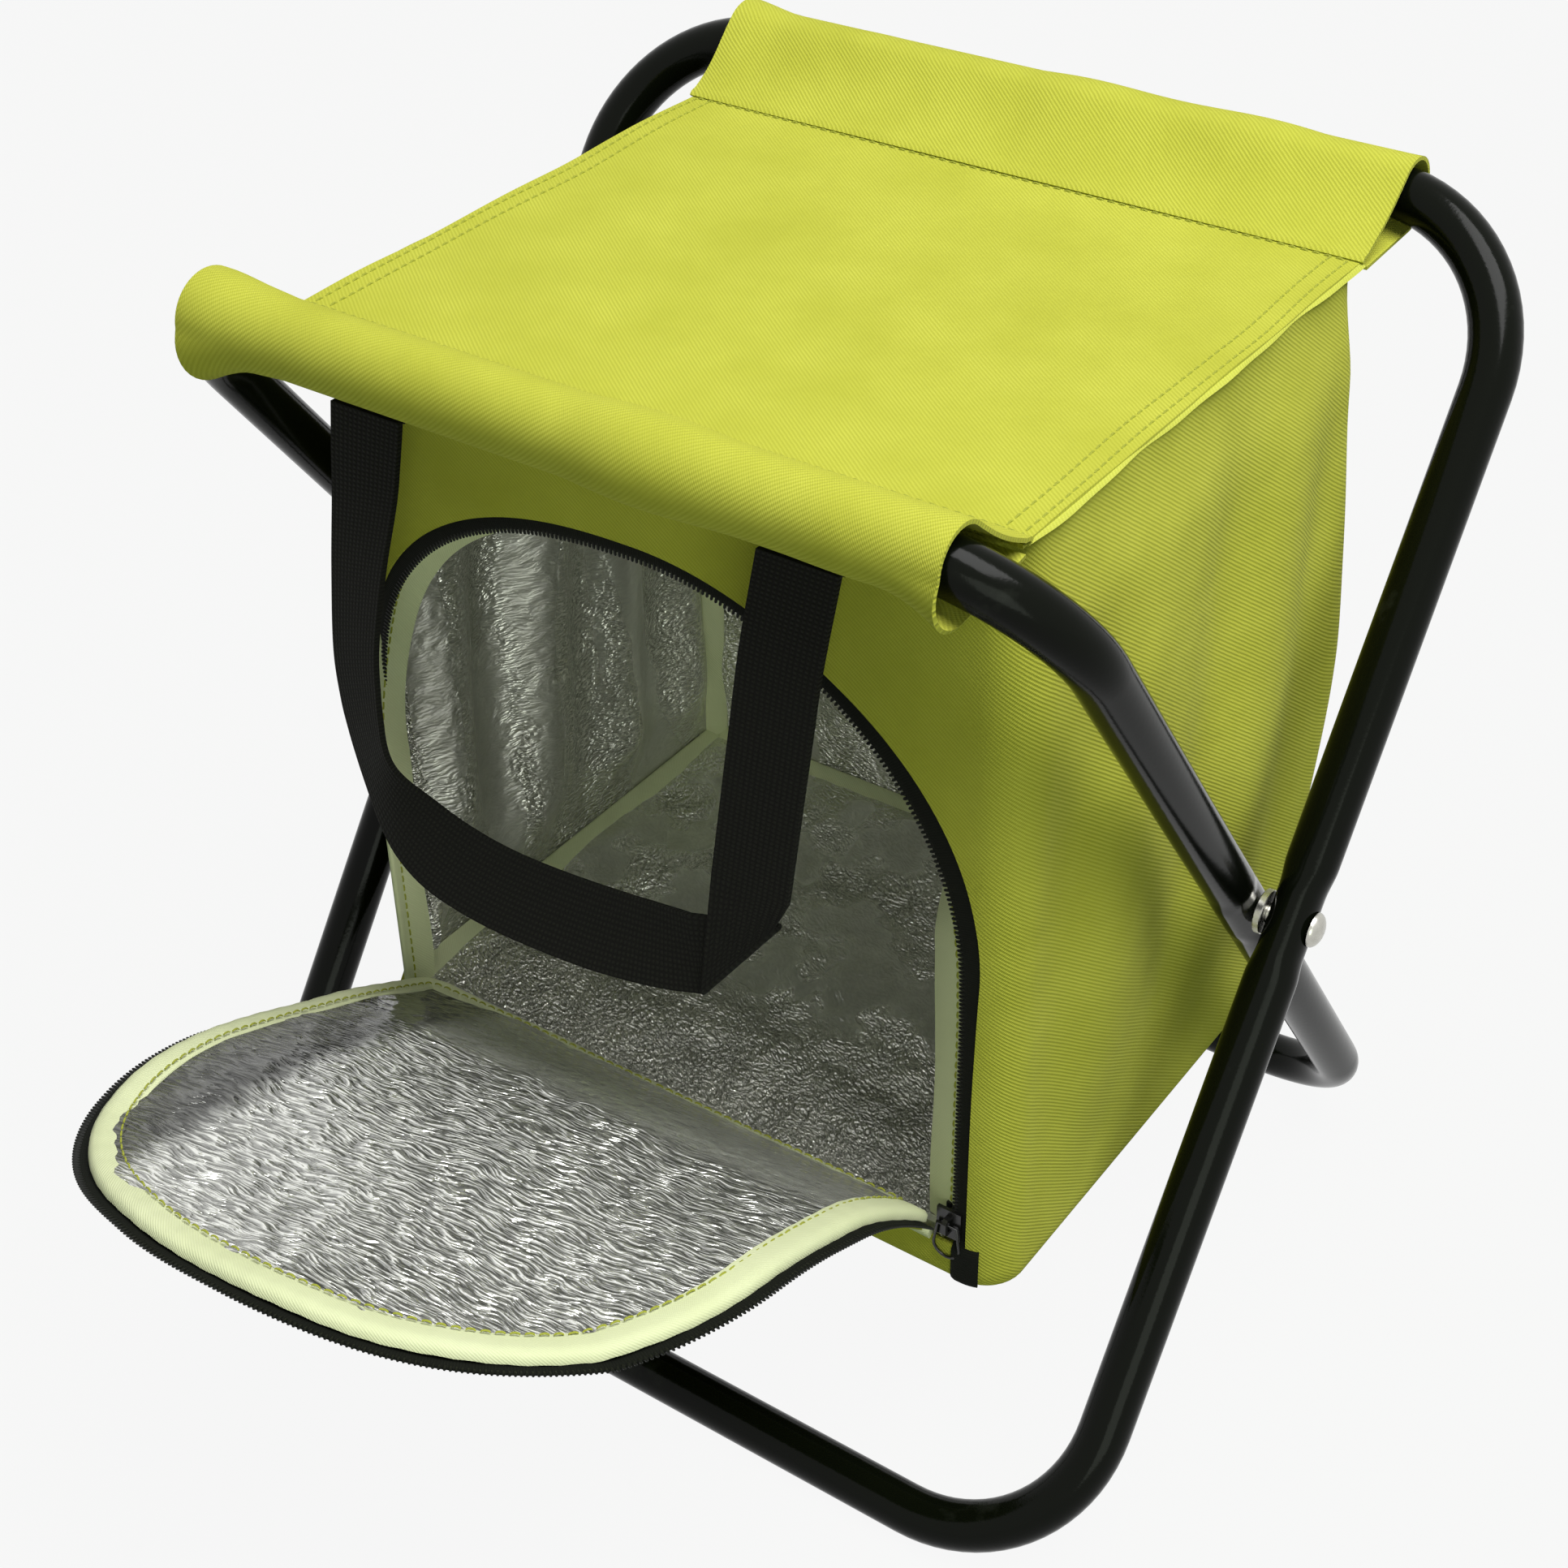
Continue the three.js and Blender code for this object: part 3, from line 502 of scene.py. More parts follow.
LIME = cloth_material("lime_twill", (0.67, 0.69, 0.098), (0.48, 0.50, 0.048), 0.0011, 0.00035, 0.85, 0.03)
PALE = cloth_material("pale_tape", (0.86, 0.91, 0.60), (0.74, 0.80, 0.46), 0.0007, 0.0002, 0.8, 0.05)
THREAD = cloth_material("seam_thread", (0.50, 0.53, 0.08), (0.34, 0.37, 0.05), 0.0008, 0.0002, 0.8, 0.02)
ZIP_TAPE = cloth_material("zip_tape", (0.011, 0.012, 0.009), (0.005, 0.006, 0.004), 0.0008, 0.0002,
                          0.85, 0.0, turn=0.0)
PALE_EDGE = cloth_material("cut_edge", (0.68, 0.71, 0.13), (0.52, 0.55, 0.07), 0.0011, 0.0003, 0.85, 0.05)
WEBBING = webbing_material("black_webbing", (0.014, 0.015, 0.011), (0.005, 0.005, 0.004))
# The crest of the door, where its foil goes from smooth to wrinkled, and how much light its left strip keeps
# under painted shade
CREST_S, CREST_X, CREST_FADE, SMOOTH_SHARE, LEFT_STRIP_PAINTED_SHADE = 0.050, -0.052, 0.014, 0.10, 0.20
WALL_FOIL = foil_material("wall_foil", (0.97, 0.98, 0.88), 0.0009, 0.0024, radians(90), 0.0028, 0.30, 0.42,
                          wall_look)
FLOOR_FOIL = foil_material("floor_foil", (0.96, 0.97, 0.88), 0.0011, 0.0020, radians(60), 0.0034, 0.25, 0.36,
                           floor_look)
DOOR_FOIL = foil_material("door_foil", (0.97, 0.98, 0.92), 0.0012, 0.0070, radians(86), 0.0032, 0.55, 0.15,
                          door_look)
ENAMEL = enamel_material("black_enamel", (0.003, 0.004, 0.002), (0.03, 0.034, 0.026), 0.14, 0.09)
SLIDER = enamel_material("slider_enamel", (0.008, 0.008, 0.007), (0.12, 0.12, 0.10), 0.25, 0.4)
TEETH = enamel_material("tooth_nylon", (0.007, 0.008, 0.006), (0.02, 0.02, 0.016), 0.40, 0.12)
STEEL = steel_material("bright_steel", (0.62, 0.61, 0.55), 0.25)


# Frames

def tube_loop(name, width, bend, lean, node_name):
    """One loop of bent tube through the pivot, pressed flat round the rivets."""
    along = np.array([0, lean * cos(FRAME_ANGLE), sin(FRAME_ANGLE)])
    across = np.array([0, -lean * sin(FRAME_ANGLE), cos(FRAME_ANGLE)])
    half_across, half_along = width / 2 - bend, FRAME_LENGTH / 2 - bend
    stations = []

    def corner(side_x, side_t, start):
        for i in range(BEND_STEPS + 1):
            angle = start + i / BEND_STEPS * pi / 2
            stations.append((side_x * half_across + bend * cos(angle),
                             side_t * half_along + bend * sin(angle), cos(angle), sin(angle), 0))

    def leg(side):
        flat, run = PRESS_FLAT / 2, PRESS_FLAT / 2 + PRESS_RUN
        for i in range(-LEG_STEPS, LEG_STEPS + 1):
            t = i / LEG_STEPS * run
            pressed = 1 - soften((abs(t) - flat) / PRESS_RUN)
            stations.append((side * width / 2, side * t, side, 0, pressed))

    corner(1, 1, 0)
    corner(-1, 1, pi / 2)
    leg(-1)
    corner(-1, -1, pi)
    corner(1, -1, 3 * pi / 2)
    leg(1)
    rings, uvs = [], []
    for x, t, out_x, out_t, pressed in stations:
        out = np.array([out_x, 0, 0]) + along * out_t
        centre = np.array([x, 0, PIVOT_Z]) + along * t
        thick = TUBE_RADIUS - pressed * PRESS_DEPTH
        wide = TUBE_RADIUS + pressed * PRESS_DEPTH * PRESS_SPREAD_SHARE
        for k in range(TUBE_SIDES):
            angle = k / TUBE_SIDES * 2 * pi
            rings.append(centre + out * thick * cos(angle) + across * wide * sin(angle))
            uvs.append((t, angle * TUBE_RADIUS))
    count = len(stations)
    faces = grid_faces(TUBE_SIDES, count, wrap=True)
    for k in range(TUBE_SIDES):
        after = (k + 1) % TUBE_SIDES
        last = (count - 1) * TUBE_SIDES
        faces.append((last + k, last + after, after, k))
    made = piece(name, np.array(rings), faces, uvs, node_name, ENAMEL, "tube_enamel")
    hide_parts(node_name)


tube_loop("outer_tube", OUTER_WIDTH, OUTER_BEND, 1, "outer_frame")
tube_loop("inner_tube", INNER_WIDTH, INNER_BEND, -1, "inner_frame")


def turned(profile, side):
    """A turned piece on the pivot line, from (radius, x) points; side is 1 right or -1 left."""
    points, uvs = [], []
    for radius, x in profile:
        for k in range(TURNED_SIDES):
            angle = side * k / TURNED_SIDES * 2 * pi
            points.append((side * x, radius * cos(angle), PIVOT_Z + radius * sin(angle)))
            uvs.append((k / TURNED_SIDES, x))
    faces = grid_faces(TURNED_SIDES, len(profile), wrap=True)
    return np.array(points), faces, np.array(uvs)


PRESSED = TUBE_RADIUS - PRESS_DEPTH
RIVET_HEAD, RIVET_TAIL, RIVET_SHANK = 0.0055, 0.0045, 0.003
RIVET_RISE, RIVET_TAIL_RISE = 0.003, 0.0016
WASHER_RADIUS, WASHER_BEVEL = 0.007, 0.0003
# Angle left open at the pole of a dome
POLE_GAP = 0.02
for side, side_name in ((1, "right"), (-1, "left")):
    outer_face = OUTER_WIDTH / 2 + PRESSED + CLEARANCE
    inner_face = INNER_WIDTH / 2 - PRESSED - CLEARANCE
    tail = [(RIVET_TAIL * sin(a), inner_face - RIVET_TAIL_RISE * cos(a))
            for a in np.linspace(POLE_GAP, pi / 2, 6)]
    dome = [(RIVET_HEAD * cos(a), outer_face + RIVET_RISE * sin(a))
            for a in np.linspace(0, pi / 2 - POLE_GAP, 9)]
    profile = tail + [(RIVET_SHANK, inner_face), (RIVET_SHANK, outer_face)] + dome
    made = piece(f"rivet_head_{side_name}", *turned(profile, side), "outer_frame", STEEL, "bright_steel")
    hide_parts(f"rivet_{side_name}")
    start = INNER_WIDTH / 2 + PRESSED + CLEARANCE
    end = OUTER_WIDTH / 2 - PRESSED - CLEARANCE
    bore = RIVET_SHANK + CLEARANCE
    ring = [(bore, start), (WASHER_RADIUS - WASHER_BEVEL, start), (WASHER_RADIUS, start + WASHER_BEVEL),
            (WASHER_RADIUS, end - WASHER_BEVEL), (WASHER_RADIUS - WASHER_BEVEL, end), (bore, end),
            (bore, start)]
    made = piece(f"washer_{side_name}", *turned(ring, side), "pivot_washers", STEEL, "bright_steel",
                 sharp=30)
    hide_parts(f"pivot_washer_{side_name}")


# Bag shell: a rounded rectangle lofted from the floor to the seat. Places on it are given by
# the distance round it from the middle of the front, to the right, and by height.
CORNER = 0.014
SKIRT = 0.003
TOP_PULL = 0.004
TOP_PULL_RUN = 0.035
FRONT_FLAT = BAG_HALF - CORNER
SIDE_FLAT = BAG_FRONT - CORNER
QUARTER = CORNER * pi / 2
GIRTH = 4 * (FRONT_FLAT + SIDE_FLAT + QUARTER)
S_CORNER = FRONT_FLAT + QUARTER / 2
WALL_TOP = SEAT_Z - CLOTH - CLEARANCE
FLOOR_EDGE = SKIRT * (1 - sqrt(0.5))
FRONT_HOLD = 0.07
BACK_CORNER_SHARE = 0.5
# The left front corner caves in: how deep, how far round the bag, and the fade at both ends
CAVE_DEPTH, CAVE_RUN, CAVE_FADE = 0.010, 0.012, 0.10
# Soft folds of the side walls: (y at the top, y at the bottom, width, depth, lowest z, highest z)
SIDE_FOLDS = (
    (0.020, -0.010, 0.016, -0.0030, 0.100, 0.350),
    (0.055, 0.020, 0.018, 0.0032, 0.110, 0.340),
    (-0.030, -0.055, 0.020, 0.0022, 0.100, 0.330),
    (-0.062, -0.075, 0.014, -0.0018, 0.090, 0.300),
    (0.080, 0.060, 0.012, -0.0022, 0.100, 0.330),
)
# The folds' sway with height, their reach on the left side, and the fade at their foot and top
FOLD_SWAY, SWAY_RATE, LEFT_FOLD_SHARE, FOLD_RISE, FOLD_FALL = 0.004, 22, 0.9, 0.05, 0.06
BACK_WAVE, BACK_WAVE_RATE = 0.0020, 55
PUCKER, PUCKER_WIDE, PUCKER_HIGH = 0.0006, 0.03, 0.035
# Share of each half of the zip line that is its straight part
STRAIGHT_SHARE = 0.3
ZIP_POINTS = 200
SHOULDER_SWELL, SWELL_AT, SWELL_RUN = 0.0036, 0.27, 0.09
SHELL_REACH = ZIP_SHOW + 0.0010
UNDER_ROWS, REACH_ROWS = 6, 14


def ring_place(s):
    """Place and outward direction on the ring at a distance round it from the front's middle."""
    s = np.mod(np.asarray(s, float) + GIRTH / 2, GIRTH) - GIRTH / 2
    flip = np.where(s < 0, -1.0, 1.0)
    d = np.abs(s)
    x, y = np.zeros_like(d), np.zeros_like(d)
    nx, ny = np.zeros_like(d), np.zeros_like(d)
    a = d <= FRONT_FLAT
    x[a], y[a], ny[a] = d[a], -BAG_FRONT, -1
    turn = (d - FRONT_FLAT) / CORNER
    b = (~a) & (d <= FRONT_FLAT + QUARTER)
    x[b] = FRONT_FLAT + CORNER * np.sin(turn[b])
    y[b] = -SIDE_FLAT - CORNER * np.cos(turn[b])
    nx[b], ny[b] = np.sin(turn[b]), -np.cos(turn[b])
    side_start = FRONT_FLAT + QUARTER
    c = (d > side_start) & (d <= side_start + 2 * SIDE_FLAT)
    x[c], y[c], nx[c] = BAG_HALF, d[c] - side_start - SIDE_FLAT, 1
    back_turn = (d - side_start - 2 * SIDE_FLAT) / CORNER
    e = (d > side_start + 2 * SIDE_FLAT) & (d <= side_start + 2 * SIDE_FLAT + QUARTER)
    x[e] = FRONT_FLAT + CORNER * np.cos(back_turn[e])
    y[e] = SIDE_FLAT + CORNER * np.sin(back_turn[e])
    nx[e], ny[e] = np.cos(back_turn[e]), np.sin(back_turn[e])
    f = d > side_start + 2 * SIDE_FLAT + QUARTER
    x[f], y[f], ny[f] = GIRTH / 2 - d[f], BAG_FRONT, 1
    return x * flip, y, nx * flip, ny


def shell_place(s, z, inset=0.0):
    """A point of the bag's wall, with its folds. inset moves it inwards."""
    x, y, nx, ny = ring_place(s)
    z = np.asarray(z, float)
    share = np.clip((z - FLOOR_Z) / (SEAT_Z - FLOOR_Z), 0, 1)
    rise = np.sin(pi * share) ** 2
    side_reach = soften((y + BAG_FRONT) / FRONT_HOLD) * np.abs(nx)
    arch_share = np.sin(pi * np.clip((x + BAG_HALF) / (2 * BAG_HALF), 0, 1))
    back_reach = (BACK_CORNER_SHARE + (1 - BACK_CORNER_SHARE) * arch_share) * np.clip(ny, 0, 1)
    push = SIDE_BULGE * side_reach * rise + BACK_BULGE * back_reach * rise
    for top_y, foot_y, width, depth, low, high in SIDE_FOLDS:
        centre = foot_y + (top_y - foot_y) * share + FOLD_SWAY * np.sin(SWAY_RATE * z)
        centre = np.where(nx < 0, -centre * LEFT_FOLD_SHARE, centre)
        ends = soften((z - low) / FOLD_RISE) * soften((high - z) / FOLD_FALL)
        push += depth * np.exp(-((y - centre) / width) ** 2) * ends * np.abs(nx) ** 3
    push += BACK_WAVE * np.sin(x * BACK_WAVE_RATE + 3 * share) * np.clip(ny, 0, 1) * rise
    push += PUCKER * lattice_noise(np.asarray(s) + 1, z, PUCKER_WIDE, PUCKER_HIGH, 4) * rise
    low = np.clip(FLOOR_Z + SKIRT - z, 0, SKIRT)
    skirt = SKIRT - np.sqrt(SKIRT ** 2 - low ** 2)
    pull = TOP_PULL * (1 - soften((WALL_TOP - z) / TOP_PULL_RUN)) * np.abs(nx)
    from_corner = np.mod(np.asarray(s, float) + S_CORNER + GIRTH / 2, GIRTH) - GIRTH / 2
    caved = np.exp(-(from_corner / CAVE_RUN) ** 2)
    caved = CAVE_DEPTH * caved * soften(share / CAVE_FADE) * soften((1 - share) / CAVE_FADE)
    out = push - skirt - pull - caved - inset
    return np.column_stack([x + nx * out, y + ny * out, z])


def zip_edge(side, share, offset, foot):
    """A place (x, height over the hinge) on one half of the zip line, moved out by an offset.
    The share runs from the foot at 0 over the straight part to the top of the arch at 1."""
    share = np.asarray(share, float)
    power = 2 / (RIGHT_FULLNESS if side > 0 else LEFT_FULLNESS)
    angle = np.clip((share - STRAIGHT_SHARE) / (1 - STRAIGHT_SHARE), 0, 1) * pi / 2
    across, up = np.cos(angle), np.sin(angle)
    across = np.clip(across, 0, 1)
    out_x = ZIP_RISE * across ** (2 - power)
    out_z = ZIP_HALF * up ** (2 - power)
    length = np.hypot(out_x, out_z)
    low = share < STRAIGHT_SHARE
    x = ZIP_HALF * across ** power + offset * out_x / length
    z = ZIP_STRAIGHT + ZIP_RISE * up ** power + offset * out_z / length
    z = np.where(low, foot + (ZIP_STRAIGHT - foot) * share / STRAIGHT_SHARE, z)
    x = np.where(low, ZIP_HALF + offset, x)
    out_x, out_z = np.where(low, 1.0, out_x / length), np.where(low, 0.0, out_z / length)
    return side * x, z, side * out_x, out_z


def arch_path(offset, foot, steps):
    """The zip line from its right foot to its left foot: rows of (x, z, out_x, out_z)."""
    shares = np.linspace(0, 1, steps)
    right = np.column_stack(zip_edge(1, shares, offset, foot))
    left = np.column_stack(zip_edge(-1, shares[::-1], offset, foot))
    path = np.vstack([right[:-1], left])
    return path, running(path[:, :2])


def spaced_arch(offset, foot, shares):
    """Places along the zip line at shares of its own length."""
    path, lengths = arch_path(offset, foot, ZIP_POINTS)
    return rows_at(np.asarray(shares) * lengths[-1], lengths, path)


def edge_swell(share):
    """How much wider the zip's tape shows at a share of the arch: most at the right shoulder."""
    return SHOULDER_SWELL * np.exp(-((np.asarray(share, float) - SWELL_AT) / SWELL_RUN) ** 2)


def wall_with_opening(opening_offset, swell, foot, inset, rows, thickness, outer=True):
    """The bag's walls in one piece, with the door opening cut in the front."""
    foot_z = HINGE_Z + foot
    heights = np.linspace(foot_z, WALL_TOP, rows)
    under = np.linspace(FLOOR_Z + FLOOR_EDGE, foot_z, UNDER_ROWS)
    parts = []
    seam = -(GIRTH / 2 - FRONT_FLAT - QUARTER / 2)
    around = np.linspace(S_CORNER, GIRTH + seam, 3 * rows)
    around_left = np.linspace(seam, -S_CORNER, rows)

    def add(s_values, z_values):
        z, s = np.meshgrid(z_values, s_values, indexing="ij")
        flat = np.column_stack([s.ravel(), z.ravel()])
        parts.append((flat, grid_faces(len(s_values), len(z_values))))

    for columns in (around, around_left):
        add(columns, under)
        add(columns, heights)
    top_columns = np.linspace(S_CORNER, -S_CORNER, rows)
    border = np.vstack([
        np.column_stack([np.full(rows, S_CORNER), heights]),
        np.column_stack([top_columns[1:-1], np.full(rows - 2, WALL_TOP)]),
        np.column_stack([np.full(rows, -S_CORNER), heights[::-1]]),
    ])
    lengths = running(border)
    shares = lengths / lengths[-1]
    arch = spaced_arch(opening_offset, foot, shares)
    arch = arch[:, :2] + arch[:, 2:] * (swell * edge_swell(shares))[:, None] + (0, HINGE_Z)
    rings = [arch + (border - arch) * k / (REACH_ROWS - 1) for k in range(REACH_ROWS)]
    around_arch = [tuple(reversed(face)) for face in grid_faces(len(border), REACH_ROWS)]
    parts.append((np.vstack(rings), around_arch))
    foot_right = np.linspace(S_CORNER, arch[0, 0], REACH_ROWS)
    middle = np.linspace(arch[-1, 0], arch[0, 0], rows)[1:-1]
    add(np.concatenate([-foot_right, middle, foot_right[::-1]]), under)
    points = np.vstack([p for p, _ in parts])
    faces, count = [], 0
    for some, some_faces in parts:
        faces += [tuple(i + count for i in face) for face in some_faces]
        count += len(some)
    placed = shell_place(points[:, 0], points[:, 1], inset)
    placed, faces, uvs = weld(placed, faces, points)
    if not outer:
        faces = [tuple(reversed(face)) for face in faces]
    return thicken(placed, faces, uvs, thickness)


def gather(made):
    """Gives a soft piece of the bag a mesh of its own."""
    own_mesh(made)
    return made


SHELL_ROWS, FOIL_ROWS = 56, 110
DOOR_FOOT = 0.0015
shell = piece("bag_shell", *wall_with_opening(SHELL_REACH, 1, -DOOR_FOOT, 0.0, SHELL_ROWS, CLOTH),
              "bag", LIME, "lime_cloth")
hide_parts("front_panel", "back_panel", "side_panel_left", "side_panel_right")
gather(shell)


FLOOR_SHRINK_SHARE = 0.999
FLOOR_RIPPLE, RIPPLE_CELL, FLOOR_SAG = 0.0008, 0.05, 0.0012


def bag_floor():
    """The floor: rings from the wall's foot inwards, with the edge turned up to meet it."""
    count, rings = 160, 14
    s = np.linspace(-GIRTH / 2, GIRTH / 2, count, endpoint=False)
    x, y, nx, ny = ring_place(s)
    points = []
    for k in range(rings):
        share = k / (rings - 1)
        edge = FLOOR_EDGE * (1 - soften(share * 4))
        shrink = 1 - share * FLOOR_SHRINK_SHARE
        ripple = lattice_noise(x * shrink + 1, y * shrink + 1, RIPPLE_CELL, RIPPLE_CELL, 9)
        ripple = FLOOR_RIPPLE * ripple * min(1, 4 * share)
        points.append(np.column_stack([(x - nx * FLOOR_EDGE) * shrink, (y - ny * FLOOR_EDGE) * shrink,
                                       FLOOR_Z + edge + ripple + FLOOR_SAG * sin(pi * share / 2)]))
    points = np.vstack(points)
    faces = grid_faces(count, rings, wrap=True)
    faces = [tuple(reversed(face)) for face in faces]
    made = piece("bag_floor", *thicken(points, faces, points[:, :2] + 1, CLOTH), "bag", LIME, "lime_cloth")
    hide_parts("floor_panel")
    return gather(made)


bag_floor()


# Foil lining

FOIL_EASE = 0.0012
FOIL_INSET = CLOTH + CLEARANCE + FOIL_EASE
FOIL_FACE = FOIL_INSET + LINING
LIP_OFFSET = 0.0042
# Upright folds of the side linings: pitch, half depth, y where one starts, lean with height
FOLD_PITCH, FOLD_DEPTH, FOLD_START, FOLD_LEAN = 0.048, 0.0042, -0.075, 0.15
FOLD_FADE, BACK_FOLD, BACK_FOLD_RATE = 0.03, 0.0012, 210
# Crumples of the walls: half depth, width and height of a cell, and the seed
FINE_CRUMPLE, BROAD_CRUMPLE = (0.0002, 0.005, 0.005, 1), (0.0010, 0.019, 0.03, 2)
FLAT_GAP, FLAT_FADE, FLAT_STAND, FLAT_EDGE_LIFT = 0.0005, 0.012, 0.0026, 0.003
FLAT_LINING_SHARE = 0.8


def foil_walls():
    """The lining of the four walls, with its own folds and crumples, in one piece."""
    points, faces, uvs = wall_with_opening(
        LIP_OFFSET, 0, DOOR_FOOT, FOIL_FACE, FOIL_ROWS, LINING, outer=False)
    half = len(points) // 2
    s, z = uvs[:half, 0], uvs[:half, 1]
    x, y, nx, ny = ring_place(s)
    ends = soften((z - FLOOR_Z - 0.012) / 0.03) * soften((WALL_TOP - z) / 0.02)
    corners = soften((BAG_FRONT - np.abs(y)) / 0.02) + soften((BAG_HALF - np.abs(x)) / 0.02)
    corners = np.clip(corners, 0, 1) * np.where(y < 0, 0.5, 1.0)
    phase = 2 * pi * (y - FOLD_START + FOLD_LEAN * (0.2 - z)) / FOLD_PITCH
    folds = FOLD_DEPTH * (1 - np.cos(phase)) * np.abs(nx) ** 3
    folds = folds * soften((BAG_FRONT - np.abs(y)) / FOLD_FADE)
    back_folds = BACK_FOLD * (1 + np.sin(x * BACK_FOLD_RATE + 9 * z)) * np.clip(ny, 0, 1)
    crumple = sum(depth * (1 + lattice_noise(s + 2, z, wide, high, seed))
                  for depth, wide, high, seed in (FINE_CRUMPLE, BROAD_CRUMPLE)) * corners
    deep = (folds + back_folds + crumple) * ends
    points[:half] -= np.column_stack([nx, ny, np.zeros(half)]) * deep[:, None]
    return points, faces, uvs


foil = piece("foil_walls", *foil_walls(), "bag", WALL_FOIL, "foil_lining", sharp=70)
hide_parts("front_lining", "back_lining", "side_lining_left", "side_lining_right")
gather(foil)


def foil_flat(name, z, up, seed, nodes):
    """The lining of the floor (up 1) or of the seat's underside (up -1)."""
    half_x, half_y = BAG_HALF - FOIL_FACE - FLAT_GAP, BAG_FRONT - FOIL_FACE - FLAT_GAP
    half_x -= TOP_PULL if up < 0 else 0

    def place(u, v):
        x, y = (2 * u - 1) * half_x * up, (2 * v - 1) * half_y
        past_x = np.clip(np.abs(x) - half_x + CORNER, 0, None)
        past_y = np.clip(np.abs(y) - half_y + CORNER, 0, None)
        round_share = np.maximum(past_x, past_y) / np.maximum(np.hypot(past_x, past_y), TINY)
        round_share = np.where(np.minimum(past_x, past_y) > 0, round_share, 1)
        x = x - np.sign(x) * past_x * (1 - round_share)
        y = y - np.sign(y) * past_y * (1 - round_share)
        edge = np.minimum(soften((half_x - np.abs(x)) / FLAT_FADE),
                          soften((half_y - np.abs(y)) / FLAT_FADE))
        crumple = (0.0007 * lattice_noise(x + 1, y + 1, 0.0045, 0.006, seed)
                   + 0.0011 * lattice_noise(x + 1, y + 1, 0.03, 0.018, seed + 1)
                   + 0.0016 * np.sin(y * 88 + 5 * x + 0.6))
        lift = FLAT_EDGE_LIFT * (1 - edge) if up > 0 else 0.0
        return np.column_stack([x, y, z + lift + up * (crumple + FLAT_STAND) * edge])

    columns, rows = (130, 104) if up > 0 else (60, 48)
    made = surface(name, place, columns, rows, (2 * half_x, 2 * half_y), LINING * FLAT_LINING_SHARE,
                   "bag", FLOOR_FOIL, "foil_lining")
    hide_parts(*nodes)
    gather(made)


foil_flat("foil_floor", FLOOR_Z + CLOTH + CLEARANCE + LINING, 1, 21, ["floor_lining"])
foil_flat("foil_ceiling", SEAT_Z - CLOTH - CLEARANCE - LINING, -1, 31, ["seat_lining"])


# Pale tape over the lining's inside seams

TAPE_WIDTH, TAPE_RISE, TAPE_SINK, TAPE_STAND = 0.0085, 0.0010, 0.0004, 0.0034
TAPE_STEPS = 24
INNER_X = BAG_HALF - FOIL_FACE - TAPE_STAND
INNER_Y = BAG_FRONT - FOIL_FACE - TAPE_STAND
INNER_Z = FLOOR_Z + CLOTH + CLEARANCE + LINING + TAPE_STAND
DIAGONAL = sqrt(0.5)


def seam_tape(name, start, end, out, up):
    """A low rounded tape along a straight inside seam."""
    path = [(place, out, up) for place in np.linspace(start, end, TAPE_STEPS)]
    profile = [(TAPE_WIDTH / 2 * cos(a), TAPE_RISE * sin(a)) for a in np.linspace(0, pi, 7)]
    profile += [(-TAPE_WIDTH / 2, -TAPE_SINK), (TAPE_WIDTH / 2, -TAPE_SINK)]
    gather(piece(f"seam_tape_{name}", *sweep(path, profile, closed=False), "bag", PALE, "pale_binding"))


for sign, side_name in ((-1, "left"), (1, "right")):
    foot_corner = (sign * INNER_X, INNER_Y, INNER_Z)
    seam_tape(f"floor_{side_name}", (sign * INNER_X, -INNER_Y, INNER_Z), foot_corner,
              (sign * DIAGONAL, 0, DIAGONAL), (-sign * DIAGONAL, 0, DIAGONAL))
    seam_tape(f"back_{side_name}", foot_corner, (sign * INNER_X, INNER_Y, WALL_TOP - TAPE_STAND),
              (sign * DIAGONAL, -DIAGONAL, 0), (-sign * DIAGONAL, -DIAGONAL, 0))
seam_tape("floor_back", (-INNER_X, INNER_Y, INNER_Z), (INNER_X, INNER_Y, INNER_Z),
          (0, -DIAGONAL, -DIAGONAL), (0, -DIAGONAL, DIAGONAL))


# Seat and sleeves

SEAT_HALF = BAG_HALF - SEAT_INSET
SEAT_SAG, SEAT_EDGE_WAVE, SEAT_PULL, SEAT_PULL_CELL = 0.0022, 0.0003, 0.0006, (0.09, 0.03)


def seat_place(u, v):
    x, y = (2 * u - 1) * SEAT_HALF, (2 * v - 1) * BAG_FRONT
    sag = SEAT_SAG * np.sin(pi * u) * np.sin(pi * v) ** 0.7
    edge_wave = SEAT_EDGE_WAVE * np.sin(y * 90 + 2) * np.abs(2 * u - 1) ** 12
    pull = SEAT_PULL * lattice_noise(x + 1, y + 1, *SEAT_PULL_CELL, 51)
    return np.column_stack([x, y, SEAT_Z - sag + edge_wave + pull * np.sin(pi * v)])


seat = surface("seat_cloth", seat_place, 60, 50, (2 * SEAT_HALF, 2 * BAG_FRONT), CLOTH, "bag", LIME,
               "lime_cloth")
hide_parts("seat_panel")
gather(seat)


SLEEVE_STEPS, LEAD_STEPS, TAIL_STEPS, SLEEVE_COLUMNS = 28, 8, 6, 61
# How much further than the bent bar the sleeve's underside drops near its ends
DROP_SHARE = 1.25
# The seam's hem laps over the seat's edge: shares of its rise at its end and before the seam, and
# the share of its width where it starts to climb
HEM_OVER, HEM_RISE, HEM_STARTS, HEM_CLIMB_SHARE = 0.0028, 0.0008, (-0.6, 0.5), 0.3
TAIL_SINK, SLEEVE_FLARE, FLARE_RUN = 0.0012, 0.0012, 0.02
# Waves along a sleeve: half depth and rate of each
LONG_WAVE, SHORT_WAVE = (0.0008, 37), (0.0006, 90)
# Distance from the bar's middle where the waves end
WAVE_REACH, WAVE_FADE = 0.03, 0.02


